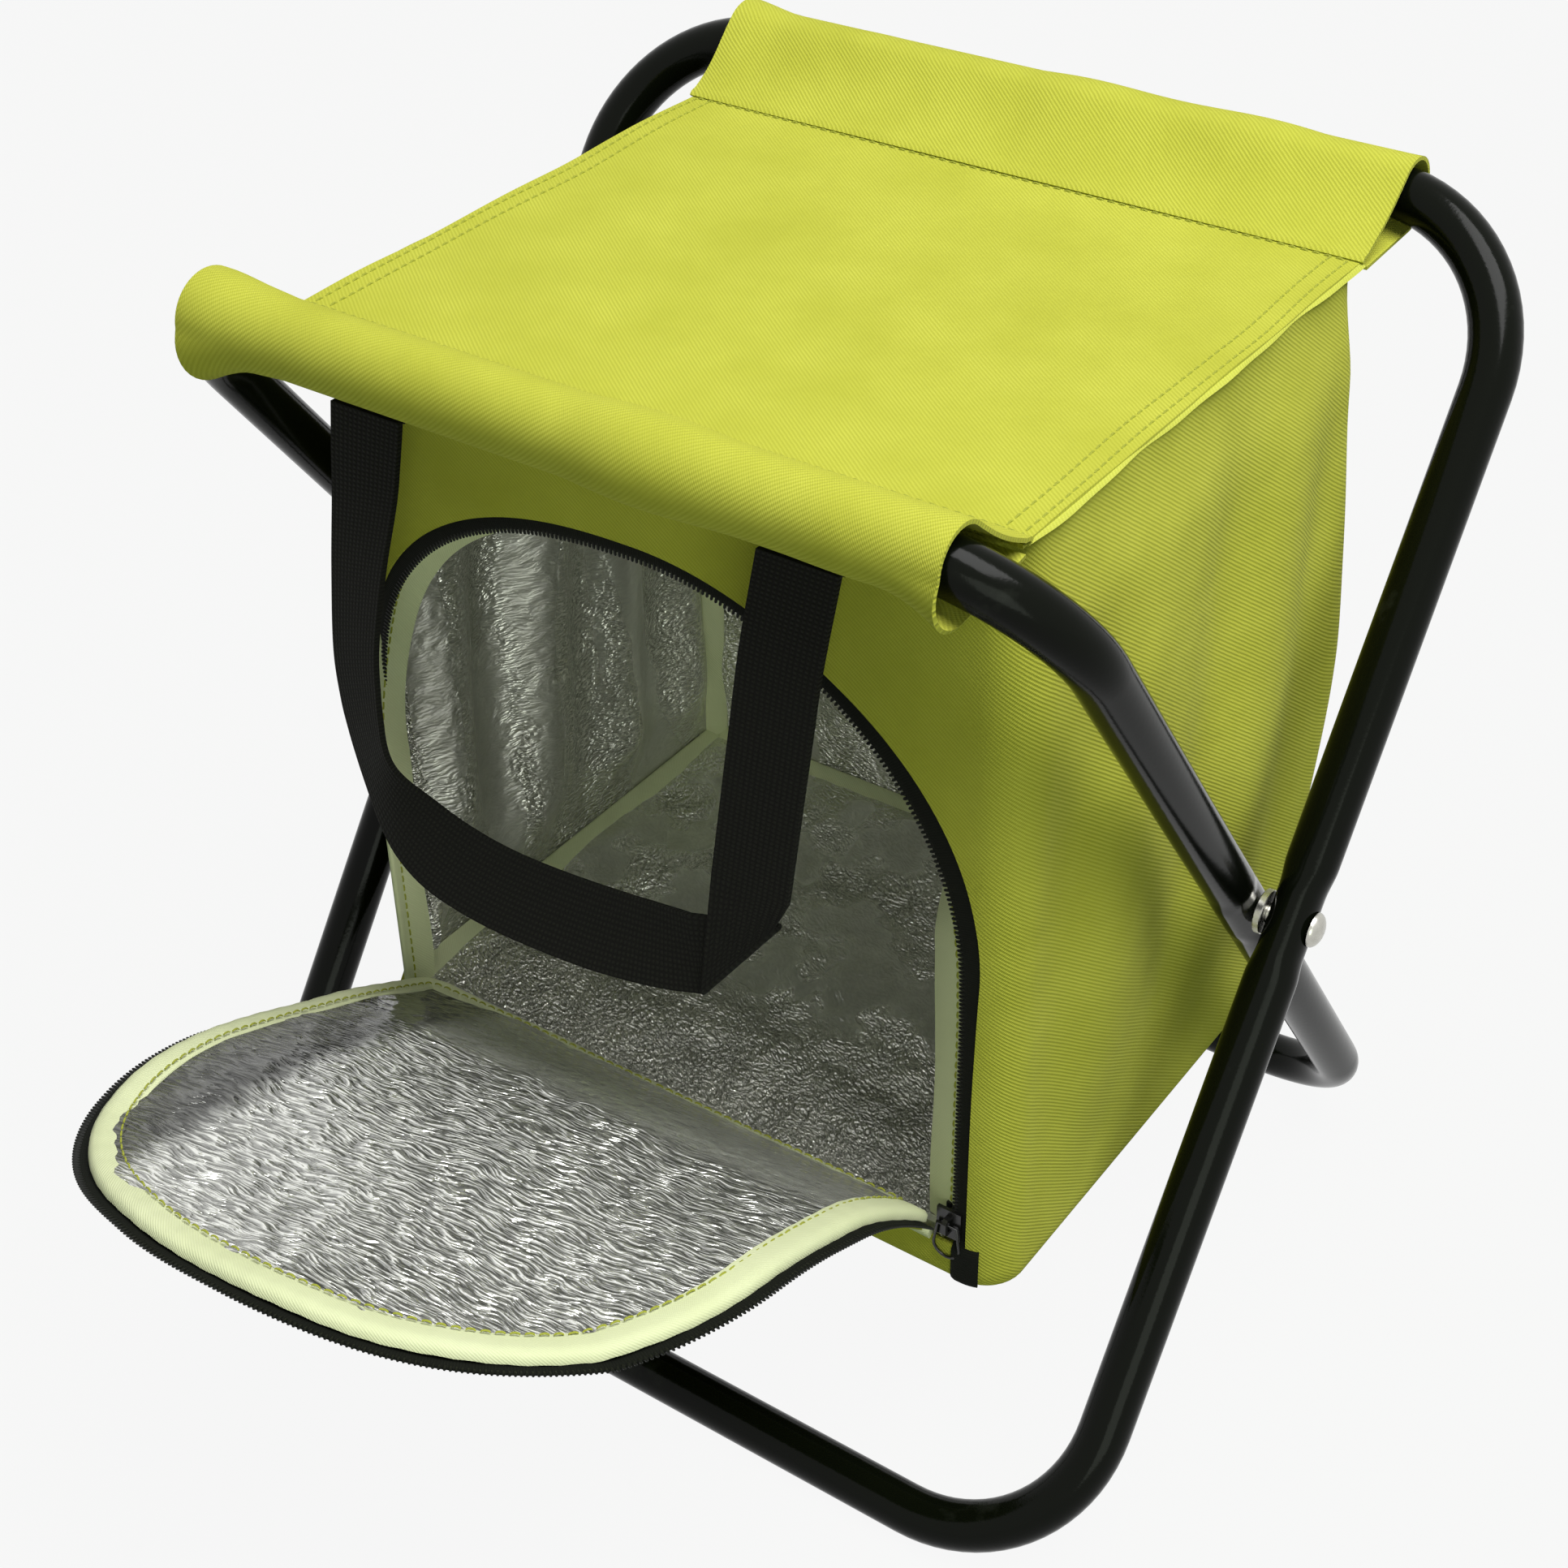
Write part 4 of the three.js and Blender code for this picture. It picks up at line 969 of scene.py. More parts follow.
def sleeve_section(side, x, frame_width, bend):
    """The sleeve's line round the bar at a place across: points (y, z) from the seam's top,
    round the bar, to the seam's underside."""
    straight = frame_width / 2 - bend
    past = max(0.0, abs(x) - straight)
    drop = bend - sqrt(bend ** 2 - past ** 2)
    bar_y, bar_z = side * BAR_SPREAD / 2, BAR_Z
    radius = TUBE_RADIUS + SLEEVE_EASE + CLOTH
    seam_y, seam_z = side * (BAG_FRONT + CLEARANCE), SEAT_Z
    tail = np.array([seam_y - bar_y, seam_z - bar_z])
    middle = atan2(tail[1], tail[0])
    wedge = np.arccos(radius / np.hypot(*tail))
    points = []
    start = middle - wedge if side < 0 else middle + wedge
    turn = (2 * pi - 2 * wedge) * (-1 if side < 0 else 1)
    for k in range(SLEEVE_STEPS + 1):
        angle = start + k / SLEEVE_STEPS * turn
        out = np.array([cos(angle), sin(angle)])
        under = max(0.0, -out[1])
        points.append(np.array([bar_y, bar_z]) + out * (radius + drop * DROP_SHARE * under))
    return points, np.array([seam_y, seam_z])


def sleeve(side, frame_width, bend, body):
    """A sleeve round a top bar: its hem over the seat's edge, the tail up to the bar, the turn
    round the bar and the tail back under the seam. It gives the rows of its face."""
    end = BAG_HALF - SLEEVE_INSET
    columns = SLEEVE_COLUMNS
    centre = np.array([side * BAR_SPREAD / 2, BAR_Z])
    rows = []
    for x in np.linspace(-end, end, columns):
        ring, seam = sleeve_section(side, x, frame_width, bend)
        if ring[0][1] < ring[-1][1]:
            ring = ring[::-1]
        upper, lower = ring[0], ring[-1]
        hem = [seam + np.array([-side * HEM_OVER, HEM_RISE * share]) for share in HEM_STARTS]
        hem[1][0] += side * HEM_OVER * HEM_CLIMB_SHARE
        lead_in = []
        for k, t in enumerate(np.linspace(0, 1, LEAD_STEPS + 1)[:-1]):
            lift = HEM_RISE * (1 - k / LEAD_STEPS) ** 2 - TAIL_SINK * sin(pi * k / LEAD_STEPS)
            lead_in.append(seam + (upper - seam) * t + np.array([0, lift]))
        seam_under = seam - np.array([0, 2 * CLOTH])
        lead_out = [lower + (seam_under - lower) * t for t in np.linspace(0, 1, TAIL_STEPS + 1)[1:]]
        wave = SHORT_WAVE[0] * sin(x * SHORT_WAVE[1] + side) + LONG_WAVE[0] * sin(x * LONG_WAVE[1])
        flare = SLEEVE_FLARE * soften((abs(x) - end + FLARE_RUN) / FLARE_RUN)
        row = []
        for p in hem + lead_in + ring + lead_out:
            away = p - centre
            reach = np.hypot(*away)
            grown = (wave + flare) * soften((WAVE_REACH - reach) / WAVE_FADE)
            row.append((x, *(p + away / reach * max(grown, 0))))
        rows.append(row)
    rows = np.array(rows)
    count = rows.shape[1]
    lengths = running(rows[columns // 2])
    points = rows.reshape(-1, 3)
    uvs = np.array([(x, length) for x in np.linspace(-end, end, columns) for length in lengths])
    faces = grid_faces(count, columns)
    if side < 0:
        faces = [tuple(reversed(face)) for face in faces]
    made = piece(f"{body}_cloth", *thicken(points, faces, uvs, CLOTH), body, LIME, "lime_cloth")
    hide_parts(body)
    return rows


front_rows = sleeve(-1, INNER_WIDTH, INNER_BEND, "front_sleeve")
back_rows = sleeve(1, OUTER_WIDTH, OUTER_BEND, "back_sleeve")


# Stitching

STITCH, STITCH_GAP, THREAD_RADIUS, THREAD_SIDES = 0.0026, 0.0012, 0.0003, 6
# A stitch's share of its length and its height in thread radii: sunk at its ends, proud between
STITCH_ARCH = ((0, -0.4), (0.2, 0.6), (0.5, 1.0), (0.8, 0.6), (1, -0.4))


def stitch_row(path, normals):
    """Short rounded stitches laid along a path, half sunk in the cloth."""
    path, normals = np.asarray(path, float), np.asarray(normals, float)
    lengths = running(path)
    parts = []
    for start in np.arange(0, lengths[-1] - STITCH, STITCH + STITCH_GAP):
        up = rows_at(start + STITCH / 2, lengths, normals)[0]
        first, last = rows_at([start, start + STITCH], lengths, path)
        along = last - first
        out = np.cross(up, along)
        out /= np.linalg.norm(out)
        stations = [(first + along * share + up * THREAD_RADIUS * height, out, up)
                    for share, height in STITCH_ARCH]
        parts.append(sweep(stations, oval(THREAD_RADIUS, THREAD_RADIUS, THREAD_SIDES), closed=False))
    return combine(parts)


def stitches(name, rows, body, finish=None, slot="lime_cloth"):
    return piece(name, *combine([stitch_row(*row) for row in rows]), body, finish or THREAD, slot)


def seat_row(points):
    """A row of stitches on the seat from (x, y) points."""
    points = np.array(points)
    u = (points[:, 0] / SEAT_HALF + 1) / 2
    v = (points[:, 1] / BAG_FRONT + 1) / 2
    return seat_place(u, v), np.tile([0.0, 0.0, 1.0], (len(points), 1))


SEAM_NEAR, SEAM_FAR = 0.003, 0.0085
ROW_POINTS, ROW_INSET, ROW_WAVE, ROW_WAVE_RATE, CROSS_INSET = 60, 0.002, 0.0006, 60, 0.004
seat_rows = []
for sign in (-1, 1):
    for inset in (SEAM_NEAR, SEAM_FAR):
        x = sign * (SEAT_HALF - inset)
        y = np.linspace(-BAG_FRONT + ROW_INSET, BAG_FRONT - ROW_INSET, ROW_POINTS)
        seat_rows.append(seat_row(np.column_stack([x + ROW_WAVE * np.sin(y * ROW_WAVE_RATE), y])))
for y in (-BAG_FRONT + CROSS_INSET, BAG_FRONT - CROSS_INSET):
    x = np.linspace(-SEAT_HALF + SEAM_NEAR, SEAT_HALF - SEAM_NEAR, ROW_POINTS)
    seat_rows.append(seat_row(np.column_stack([x, np.full(ROW_POINTS, y)])))
gather(stitches("seat_stitching", seat_rows, "bag"))


# Points of a sleeve's line that its end stitches follow, and the point that its seam row follows
HEM_STITCHED, SEAM_STITCHED = 36, 3


def sleeve_rows(rows, hem):
    """Stitches down both hemmed ends of a sleeve, and one row along it by the seam."""
    found = []
    end = BAG_HALF - SLEEVE_INSET
    columns = rows.shape[0]
    for sign in (-1, 1):
        at = (sign * (end - hem) + end) / (2 * end) * (columns - 1)
        low = int(at)
        line = rows[low] + (rows[min(low + 1, columns - 1)] - rows[low]) * (at - low)
        line = line[:HEM_STITCHED]
        centre = line[:, 1:].mean(0)
        tangent = np.gradient(line[:, 1:], axis=0)
        normal = np.column_stack([np.zeros(len(line)), -tangent[:, 1], tangent[:, 0]])
        if np.mean(np.sum(normal[:, 1:] * (line[:, 1:] - centre), axis=1)) < 0:
            normal = -normal
        normal /= np.linalg.norm(normal, axis=1, keepdims=True)
        found.append((line, normal))
    along = rows[:, SEAM_STITCHED]
    found.append((along, np.tile([0.0, 0.0, 1.0], (columns, 1))))
    return found


HEM = 0.009
stitches("front_sleeve_stitching", sleeve_rows(front_rows, HEM), "front_sleeve")
stitches("back_sleeve_stitching", sleeve_rows(back_rows, HEM), "back_sleeve")


SEAM_LIP, LIP_TUCK, LIP_THICK = 0.0018, 0.0008, 0.0009


def seam_lip(name, sign):
    """The cut edge of the seam that stands out along the side of the seat, gently wavy."""
    def place(u, v):
        y = (2 * v - 1) * (BAG_FRONT - ROW_INSET)
        wave = 0.0005 * np.sin(y * 80 + sign) + 0.0002 * np.sin(y * 210)
        x = SEAT_HALF - LIP_TUCK + u * SEAM_LIP + wave * u
        z = SEAT_Z - 0.0004 - 0.0010 * u ** 2 + 0.0003 * np.sin(y * 120 + 1) * u
        return np.column_stack([sign * x, y, z])

    def facing(u, v):
        return place(u if sign > 0 else 1 - u, v)

    made = surface(name, facing, 6, 90, (SEAM_LIP, 2 * BAG_FRONT), LIP_THICK, "bag", PALE_EDGE,
                   "lime_cloth")
    gather(made)


seam_lip("seat_seam_left", -1)
seam_lip("seat_seam_right", 1)


# Front zip, its lip of pale tape, and the hinge

ZIP_DEPTH = CLOTH + CLEARANCE
ZIP_THICK = 0.0012
TAPE_EDGE, TAPE_REACH = 0.0016, 0.0105
TAIL_PROUD = 0.0008
TAPE_POINTS, TAIL_ROWS = 7, 12
ARCH_STEPS = 150


def front_place(row, out, proud):
    """A point on the front's form, moved out from an arch row and proud of the cloth's back."""
    x, z, out_x, out_z = row
    return shell_place([x + out_x * out], [HINGE_Z + z + out_z * out], ZIP_DEPTH - proud)[0]


def front_frame(row):
    """A sweep station on the zip: its place, the way out across it, and the way to the front."""
    return front_place(row, 0, 0), (row[2], 0, row[3]), (0, -1, 0)


def opening_zip():
    """The tape round the opening, with its tail down the front from the right foot."""
    half = ZIP_THICK / 2

    def profile(share):
        reach = TAPE_REACH + float(edge_swell(share))
        front = [(out, half) for out in np.linspace(2 * TAPE_EDGE, reach, TAPE_POINTS)]
        back = [(out, -half / 2) for out in np.linspace(reach, TAPE_EDGE, TAPE_POINTS)]
        return [(TAPE_EDGE, 0.0)] + front + back

    rings = []
    for share in np.linspace(1, 0, TAIL_ROWS, endpoint=False):
        row = (ZIP_HALF, DOOR_FOOT + share * (SKIRT / 2 - HINGE_HEIGHT - DOOR_FOOT), 1, 0)
        lift = soften(share * 4) * (ZIP_DEPTH + TAIL_PROUD)
        rings.append([front_place(row, out, proud + lift) for out, proud in profile(0)])
    shares = np.linspace(0, 1, ARCH_STEPS)
    for share, row in zip(shares, spaced_arch(0.0, DOOR_FOOT, shares)):
        rings.append([front_place(row, out, proud) for out, proud in profile(share)])
    return skin(rings, closed=False)


TOOTH_PITCH, TOOTH_WIDTH, TOOTH_HEIGHT, TOOTH_SIDES = 0.0015, 0.0010, 0.0005, 6
# Sections of a tooth from its root to its head: reach from the zip line, width and height
TOOTH_SECTIONS = ((0.0003, 0.55, 0.5), (0.0007, 1.0, 0.8), (0.0016, 1.0, 1.0), (0.0024, 0.8, 0.7))


def teeth(rows, frame_of, side):
    """A row of small moulded teeth along the zip's edge, on one side of the zip line."""
    path, lengths = rows
    profile = oval(TOOTH_WIDTH / 2, TOOTH_HEIGHT, TOOTH_SIDES)
    parts = []
    for d in np.arange(TOOTH_PITCH, lengths[-1] - TOOTH_PITCH, TOOTH_PITCH):
        row = rows_at(d, lengths, path)[0]
        place, out, up = (np.array(part, float) for part in frame_of(row))
        along = np.cross(out, up)
        stations = [(place + out * side * reach, along * wide, up * tall)
                    for reach, wide, tall in TOOTH_SECTIONS]
        parts.append(sweep(stations, profile, closed=False))
    return combine(parts)


made = gather(piece("opening_zip_tape", *opening_zip(), "bag", ZIP_TAPE, "zip_black"))
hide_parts("opening_zip")
opening_teeth = teeth(arch_path(0.0, DOOR_FOOT, ZIP_POINTS), front_frame, 1)
piece("opening_zip_teeth", *opening_teeth, "bag_front", TEETH, "zip_black")

LIP_DEPTH, LIP_RIDGE, LIP_WIDTH, LIP_GROOVE, LIP_HALF = 0.0032, 0.0012, 0.0095, 0.0022, 0.0004
# Shares of the arch where the lip's way of lying changes, and how far it moves in, out and forward
RIGHT_LIP_END, LEFT_LIP_START, LIP_CHANGE = 0.30, 0.72, 0.10
LIP_SHIFT, LIP_FORWARD, RIGHT_LIP_MORE = 0.0030, 0.0085, 0.25
RIGHT_LEAN, TOP_LEAN, LEFT_LEAN = radians(74), radians(52), radians(22)
TOP_LEAN_AT, TOP_LEAN_RUN = 0.66, 0.12
LIP_WAVE_SHARE, LIP_WAVE_RATE, LIP_KEEP = 0.05, 47, 0.15


def press_flat(made):
    """Gives a piece of the lip a mesh of its own."""
    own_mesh(made)
    return made


def lip_frame(row, share):
    """The lip's root, the way along its width, and the way its face looks. It lies over at the
    right side, leans at the top left, and stands out to the front at the left side."""
    right = float(soften((RIGHT_LIP_END - share) / LIP_CHANGE))
    left = float(soften((share - LEFT_LIP_START) / LIP_CHANGE))
    top = exp(-((share - TOP_LEAN_AT) / TOP_LEAN_RUN) ** 2)
    lean = RIGHT_LEAN * right + TOP_LEAN * top + LEFT_LEAN * left
    inward, back = np.array([-row[2], 0, -row[3]]), np.array([0, 1, 0])
    root = front_place(row, -LIP_SHIFT * (left + right), ZIP_DEPTH - LIP_DEPTH)
    root = root - back * LIP_FORWARD * left
    return root, inward * sin(lean) + back * cos(lean), inward * cos(lean) - back * sin(lean)


def opening_lip():
    """Pale tape that wraps the lining's edge round the opening: a stitched ridge and a flat part."""
    shares = np.linspace(0, 1, ARCH_STEPS)
    rings = []
    for share, row in zip(shares, spaced_arch(LIP_OFFSET, DOOR_FOOT, shares)):
        root, along, face = lip_frame(row, share)
        more = RIGHT_LIP_MORE * soften((RIGHT_LIP_END - share) / LIP_CHANGE)
        width = LIP_WIDTH * (1 + LIP_WAVE_SHARE * sin(share * LIP_WAVE_RATE) + more)
        ring = [root + LIP_RIDGE * (cos(a) * face - sin(a) * along) for a in np.linspace(0, pi, 7)]
        border = ((LIP_GROOVE, -1), (width, -1), (width + LIP_HALF, 0), (width, 1), (LIP_GROOVE, 1))
        ring += [root + along * part + face * LIP_HALF * level for part, level in border]
        rings.append(ring)
    return skin(rings, closed=False)


lip = press_flat(piece("opening_lip", *opening_lip(), "bag_front", PALE, "pale_binding"))
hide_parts("opening_binding")


def lip_stitches():
    shares = np.linspace(0, 1, ARCH_STEPS)
    rows = spaced_arch(LIP_OFFSET, DOOR_FOOT, shares)
    frames = [lip_frame(row, share) for share, row in zip(shares, rows)]
    path = [root + along * (LIP_GROOVE + THREAD_RADIUS) + face * LIP_HALF for root, along, face in frames]
    return [(path, [face for _, _, face in frames])]


press_flat(stitches("opening_lip_stitching", lip_stitches(), "bag_front", slot="pale_binding"))


# Door

HINGE = np.array([0, -BAG_FRONT - HINGE_PROUD, HINGE_Z])
DOOR_ALONG = np.array([0, -cos(DOOR_ANGLE), sin(DOOR_ANGLE)])
DOOR_UP = np.array([0, sin(DOOR_ANGLE), cos(DOOR_ANGLE)])
DOOR_CORNER, LEAST_CORNER, HAIR = 0.014, 0.003, 1e-9
OUTLINE_POINTS = 240
DOOR_LENGTH = ZIP_STRAIGHT + ZIP_RISE
# Heights of the door's crest at its left edge, inside that edge and at its right edge, and how
# far its tip and its left corner hang
CREST_LEFT, CREST_HIGH, CREST_RIGHT = 0.0030, 0.0085, 0.0150
CREST_RUN, CREST_HOLD, CREST_END, TIP_START = 0.058, 0.070, 0.150, 0.105
TIP_DROP, CORNER_DROP = 0.0065, 0.010
CREST_SIDE, CORNER_FROM, CORNER_RUN = 0.05, 0.04, 0.06
DOOR_WAVE, DOOR_WAVE_RATE = 0.0010, 60


def door_lift(x, s):
    """How far the door stands above its plane: a crest across it, and a tip that hangs."""
    x, s = np.asarray(x, float), np.asarray(s, float)
    share = np.clip((x + ZIP_HALF) / (2 * ZIP_HALF), 0, 1)
    crest = (CREST_LEFT + (CREST_HIGH - CREST_LEFT) * soften((x + ZIP_HALF) / CREST_SIDE)
             + (CREST_RIGHT - CREST_HIGH) * share ** 2)
    rise = np.sin(pi / 2 * np.clip(s / CREST_RUN, 0, 1))
    fall = np.cos(pi / 2 * np.clip((s - CREST_HOLD) / (CREST_END - CREST_HOLD), 0, 1))
    drop = TIP_DROP + CORNER_DROP * soften((-x - CORNER_FROM) / CORNER_RUN)
    hang = np.clip((s - TIP_START) / (DOOR_LENGTH - TIP_START), 0, None) ** 1.4
    wave = DOOR_WAVE * np.sin(x * DOOR_WAVE_RATE + 1) * soften(s / CREST_END)
    return crest * rise * fall - drop * hang + wave


def door_place(x, s, height):
    x, s = np.asarray(x, float), np.asarray(s, float)
    height = height + door_lift(x, s)
    across = np.column_stack([x, np.zeros_like(x), np.zeros_like(x)])
    return HINGE + across + s[:, None] * DOOR_ALONG + height[:, None] * DOOR_UP


def door_outline(inset, foot, count):
    """The door's outline moved in by an inset, from the middle of the hinge to the right, over
    the arch and back: rows of (x, s, out_x, out_s)."""
    path, _ = arch_path(-inset, foot, OUTLINE_POINTS)
    corner = max(DOOR_CORNER - inset, LEAST_CORNER)
    keep = path[:, 1] > foot + corner
    straight = path[keep]
    right_x, left_x = ZIP_HALF - inset, -(ZIP_HALF - inset)
    arcs = []
    for side, edge in ((1, right_x), (-1, left_x)):
        arc = []
        for a in np.linspace(0, pi / 2, 9):
            arc.append((edge - side * corner * (1 - sin(a)), foot + corner * (1 - cos(a)),
                        side * sin(a), -cos(a)))
        arcs.append(arc)
    hinge = [(x, foot, 0, -1) for x in np.linspace(0, right_x - corner, 20)[:-1]]
    back = [(x, foot, 0, -1) for x in np.linspace(left_x + corner, 0, 20)[1:]]
    rows = np.array(hinge + arcs[0] + [tuple(r) for r in straight] + arcs[1][::-1] + back)
    run = running(rows[:, :2])
    return rows_at(np.linspace(0, run[-1], count), run, rows)


def door_sheet(inset, foot, height, rows, columns, thickness, crumple, down=False):
    """A layer of the door: rows that join its left edge to its right one."""
    count = 4 * rows
    outline = door_outline(inset, foot, 2 * count + 1)[:-1]
    right = outline[:count + 1]
    left = np.vstack([outline[:1], outline[:count - 1:-1]])
    corner = max(DOOR_CORNER - inset, LEAST_CORNER)
    start = int(np.argmax(right[:, 0] >= ZIP_HALF - inset - corner - HAIR))
    pick = np.linspace(start, count, rows).astype(int)
    right, left = right[pick], left[pick]
    u = np.linspace(0, 1, columns)
    x = (left[:, 0:1] * (1 - u) + right[:, 0:1] * u).ravel()
    s = (left[:, 1:2] * (1 - u) + right[:, 1:2] * u).ravel()
    points = door_place(x, s, height + crumple(x, s))
    faces = grid_faces(columns, rows)
    faces = [tuple(reversed(face)) for face in faces] if not down else faces
    uvs = np.column_stack([x + 1, s])
    return thicken(*weld(points, faces, uvs), thickness)


def still(x, s):
    return np.zeros_like(x)


def foil_crumple(x, s):
    """Wrinkles across the door past its crest, and a nearly smooth film elsewhere."""
    rough = soften((s - CREST_S) / CREST_FADE) * soften((x - CREST_X) / CREST_FADE + 1)
    ragged = np.clip(rough + 0.5 * rough * lattice_noise(x + 1, s, 0.008, 0.008, 73), 0, 1)
    fine = lattice_noise(x + 1, s + 0.09 * x, 0.008, 0.0017, 71)
    broad = lattice_noise(x + 1, s, 0.022, 0.02, 72)
    return 0.00045 * fine * (0.12 + 0.88 * ragged) + 0.0005 * broad


def flatten(made):
    """Gives a piece of the door a mesh of its own."""
    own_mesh(made)
    return made


# Heights of the door's layers over its plane
CLOTH_LAYER, ZIP_LAYER, FOIL_LAYER = 0.0004, 0.0025, 0.0056
DOOR_EDGE, FOIL_EDGE = ZIP_SHOW, 0.001
cloth_made = door_sheet(DOOR_EDGE, DOOR_FOOT, CLOTH_LAYER, 50, 50, CLOTH, still, down=True)
door_cloth = piece("door_cloth", *cloth_made, "door", LIME, "lime_cloth")
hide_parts("door_panel")
flatten(door_cloth)
foil_made = door_sheet(DOOR_EDGE + FOIL_EDGE, DOOR_FOOT, FOIL_LAYER, 240, 100, LINING, foil_crumple)
door_foil = piece("door_foil", *foil_made, "door", DOOR_FOIL, "foil_lining", sharp=70)
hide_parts("door_lining")
flatten(door_foil)


def door_frame(row, height):
    """A sweep station on the door from an outline row."""
    x, s, out_x, out_s = row
    place = door_place([x], [s], height)[0]
    return place, np.array([out_x, 0, 0]) + DOOR_ALONG * out_s, DOOR_UP


BAND_POINTS, BAND_STITCH_IN, BAND_STITCH_UP = 260, 0.0076, 0.0015
# Puckers along the band: half height and rate of each
BAND_PUCKERS = ((0.00012, 1.9), (0.00018, 0.37))
# The band's section from its inner edge over the foil, round the door's edge and back under, as
# (out, up)
BAND_PROFILE = (
    (-0.0094, 0.0001), (-0.0090, 0.0010), (-0.0062, 0.0012), (-0.0030, 0.0013), (-0.0006, 0.0008),
    (0.0006, -0.0006), (0.0006, -0.0024), (-0.0008, -0.0030), (-0.0012, -0.0004), (-0.0062, -0.0002))


def door_band():
    path = []
    for k, row in enumerate(door_outline(DOOR_EDGE, DOOR_FOOT, BAND_POINTS)[:-1]):
        pucker = sum(height * sin(k * rate) for height, rate in BAND_PUCKERS)
        path.append(door_frame(row, FOIL_LAYER + pucker))
    return sweep(path, BAND_PROFILE, closed=True)


band = piece("door_band", *door_band(), "door", PALE, "pale_binding")
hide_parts("door_binding")
flatten(band)


def band_stitches():
    rows = door_outline(DOOR_EDGE + BAND_STITCH_IN, DOOR_FOOT + BAND_STITCH_IN, BAND_POINTS)
    path = [door_frame(row, FOIL_LAYER + BAND_STITCH_UP)[0] for row in rows]
    return [(path, np.tile(DOOR_UP, (len(path), 1)))]


flatten(stitches("door_band_stitching", band_stitches(), "door", slot="pale_binding"))


DOOR_ZIP_SKIP, DOOR_ZIP_SEWN = 0.010, 0.003
DOOR_ZIP_LINE = arch_path(0.0, DOOR_ZIP_SKIP, ZIP_POINTS)
# The door's tape from its sewn edge to the teeth, as (out, up)
DOOR_ZIP_PROFILE = ((-TAPE_EDGE, -ZIP_THICK / 2), (-ZIP_SHOW - DOOR_ZIP_SEWN, -ZIP_THICK / 2),
                    (-ZIP_SHOW - DOOR_ZIP_SEWN, 0.0002), (-0.0030, 0.0003), (-TAPE_EDGE, 0.0))


def zip_frame(row):
    return door_frame(row, ZIP_LAYER)


def door_zip():
    path, lengths = DOOR_ZIP_LINE
    rows = rows_at(np.linspace(0, lengths[-1], 170), lengths, path)
    return sweep([zip_frame(row) for row in rows], DOOR_ZIP_PROFILE, closed=False)


zip_made = piece("door_zip_tape", *door_zip(), "door", ZIP_TAPE, "zip_black")
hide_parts("door_zip")
flatten(zip_made)
flatten(piece("door_zip_teeth", *teeth(DOOR_ZIP_LINE, zip_frame, -1), "door", TEETH, "zip_black"))


PIPING_DEEP, PIPING_HIGH, PIPING_INSET, PIPING_WAVE, PIPING_RATE = 0.0014, 0.0019, 0.011, 0.0002, 300


def piping():
    """A thin piping that covers the door's hinge."""
    half = BAG_HALF - OPENING_SIDE_MARGIN - PIPING_INSET
    path = []
    for x in np.linspace(-half, half, 60):
        z = HINGE_Z + PIPING_WAVE * sin(x * PIPING_RATE)
        path.append(((x, -BAG_FRONT - HINGE_PROUD, z), (0, 1, 0), (0, 0, 1)))
    return sweep(path, oval(PIPING_DEEP, PIPING_HIGH, 12), closed=False)


hinge_piece = piece("hinge_piping", *piping(), "bag_front", PALE, "pale_binding")
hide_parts("door_hinge_piping")


# Slider and its pull

SLIDER_ROUNDING = 0.0004
slider = frame["nodes"]["zip_slider"]
slider.data.materials.clear()
slider.data.materials.append(SLIDER)
rounding = slider.modifiers.new("rounding", "BEVEL")
rounding.width = SLIDER_ROUNDING
rounding.segments = 3
rounding.limit_method = "ANGLE"

pull_low, pull_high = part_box("zip_pull")
PULL_WIRE, PULL_FLARE, MITRE_SHARE, PULL_SIDES = 0.0005, 0.0012, 1.35, 10


def pull_loop():
    """A closed wire loop, wider at its foot, that hangs from the slider's staple."""
    centre = (pull_low + pull_high) / 2
    top, foot = pull_high.z - PULL_WIRE, pull_low.z + PULL_WIRE
    half_foot = (pull_high.x - pull_low.x) / 2 - PULL_WIRE
    half_top = half_foot - PULL_FLARE
    arc_centre = foot + half_foot
    line = [(half_top, top)]
    line += [(half_foot * cos(a), arc_centre - half_foot * sin(a)) for a in np.linspace(0, pi, 17)]
    line += [(-half_top, top)]
    line = np.array(line)
    path = []
    for k, point in enumerate(line):
        before, after = line[k - 1], line[(k + 1) % len(line)]
        tangent = sum(step / np.linalg.norm(step) for step in (point - before, after - point))
        tangent /= np.linalg.norm(tangent)
        widen = MITRE_SHARE if k in (0, len(line) - 1) else 1
        out = np.array([tangent[1], 0, -tangent[0]]) * widen
        path.append(((centre.x + point[0], centre.y - PIVOT_Y, point[1]), out, (0, 1, 0)))
    return sweep(path, oval(PULL_WIRE, PULL_WIRE, PULL_SIDES), closed=True)


pull = piece("wire_pull", *pull_loop(), "zip_pull", SLIDER, "slider_enamel")
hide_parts("zip_pull")


# Handles

HANDLE_Y = -(BAG_FRONT + CLEARANCE + TAB_LENGTH + CLEARANCE + STRAP_THICKNESS / 2)
TAB_ROOT_Z = SEAT_Z - 2 * CLOTH - CLEARANCE
TAB_CURVE = 1.3
HANDLE_Z = TAB_ROOT_Z - TAB_DIP
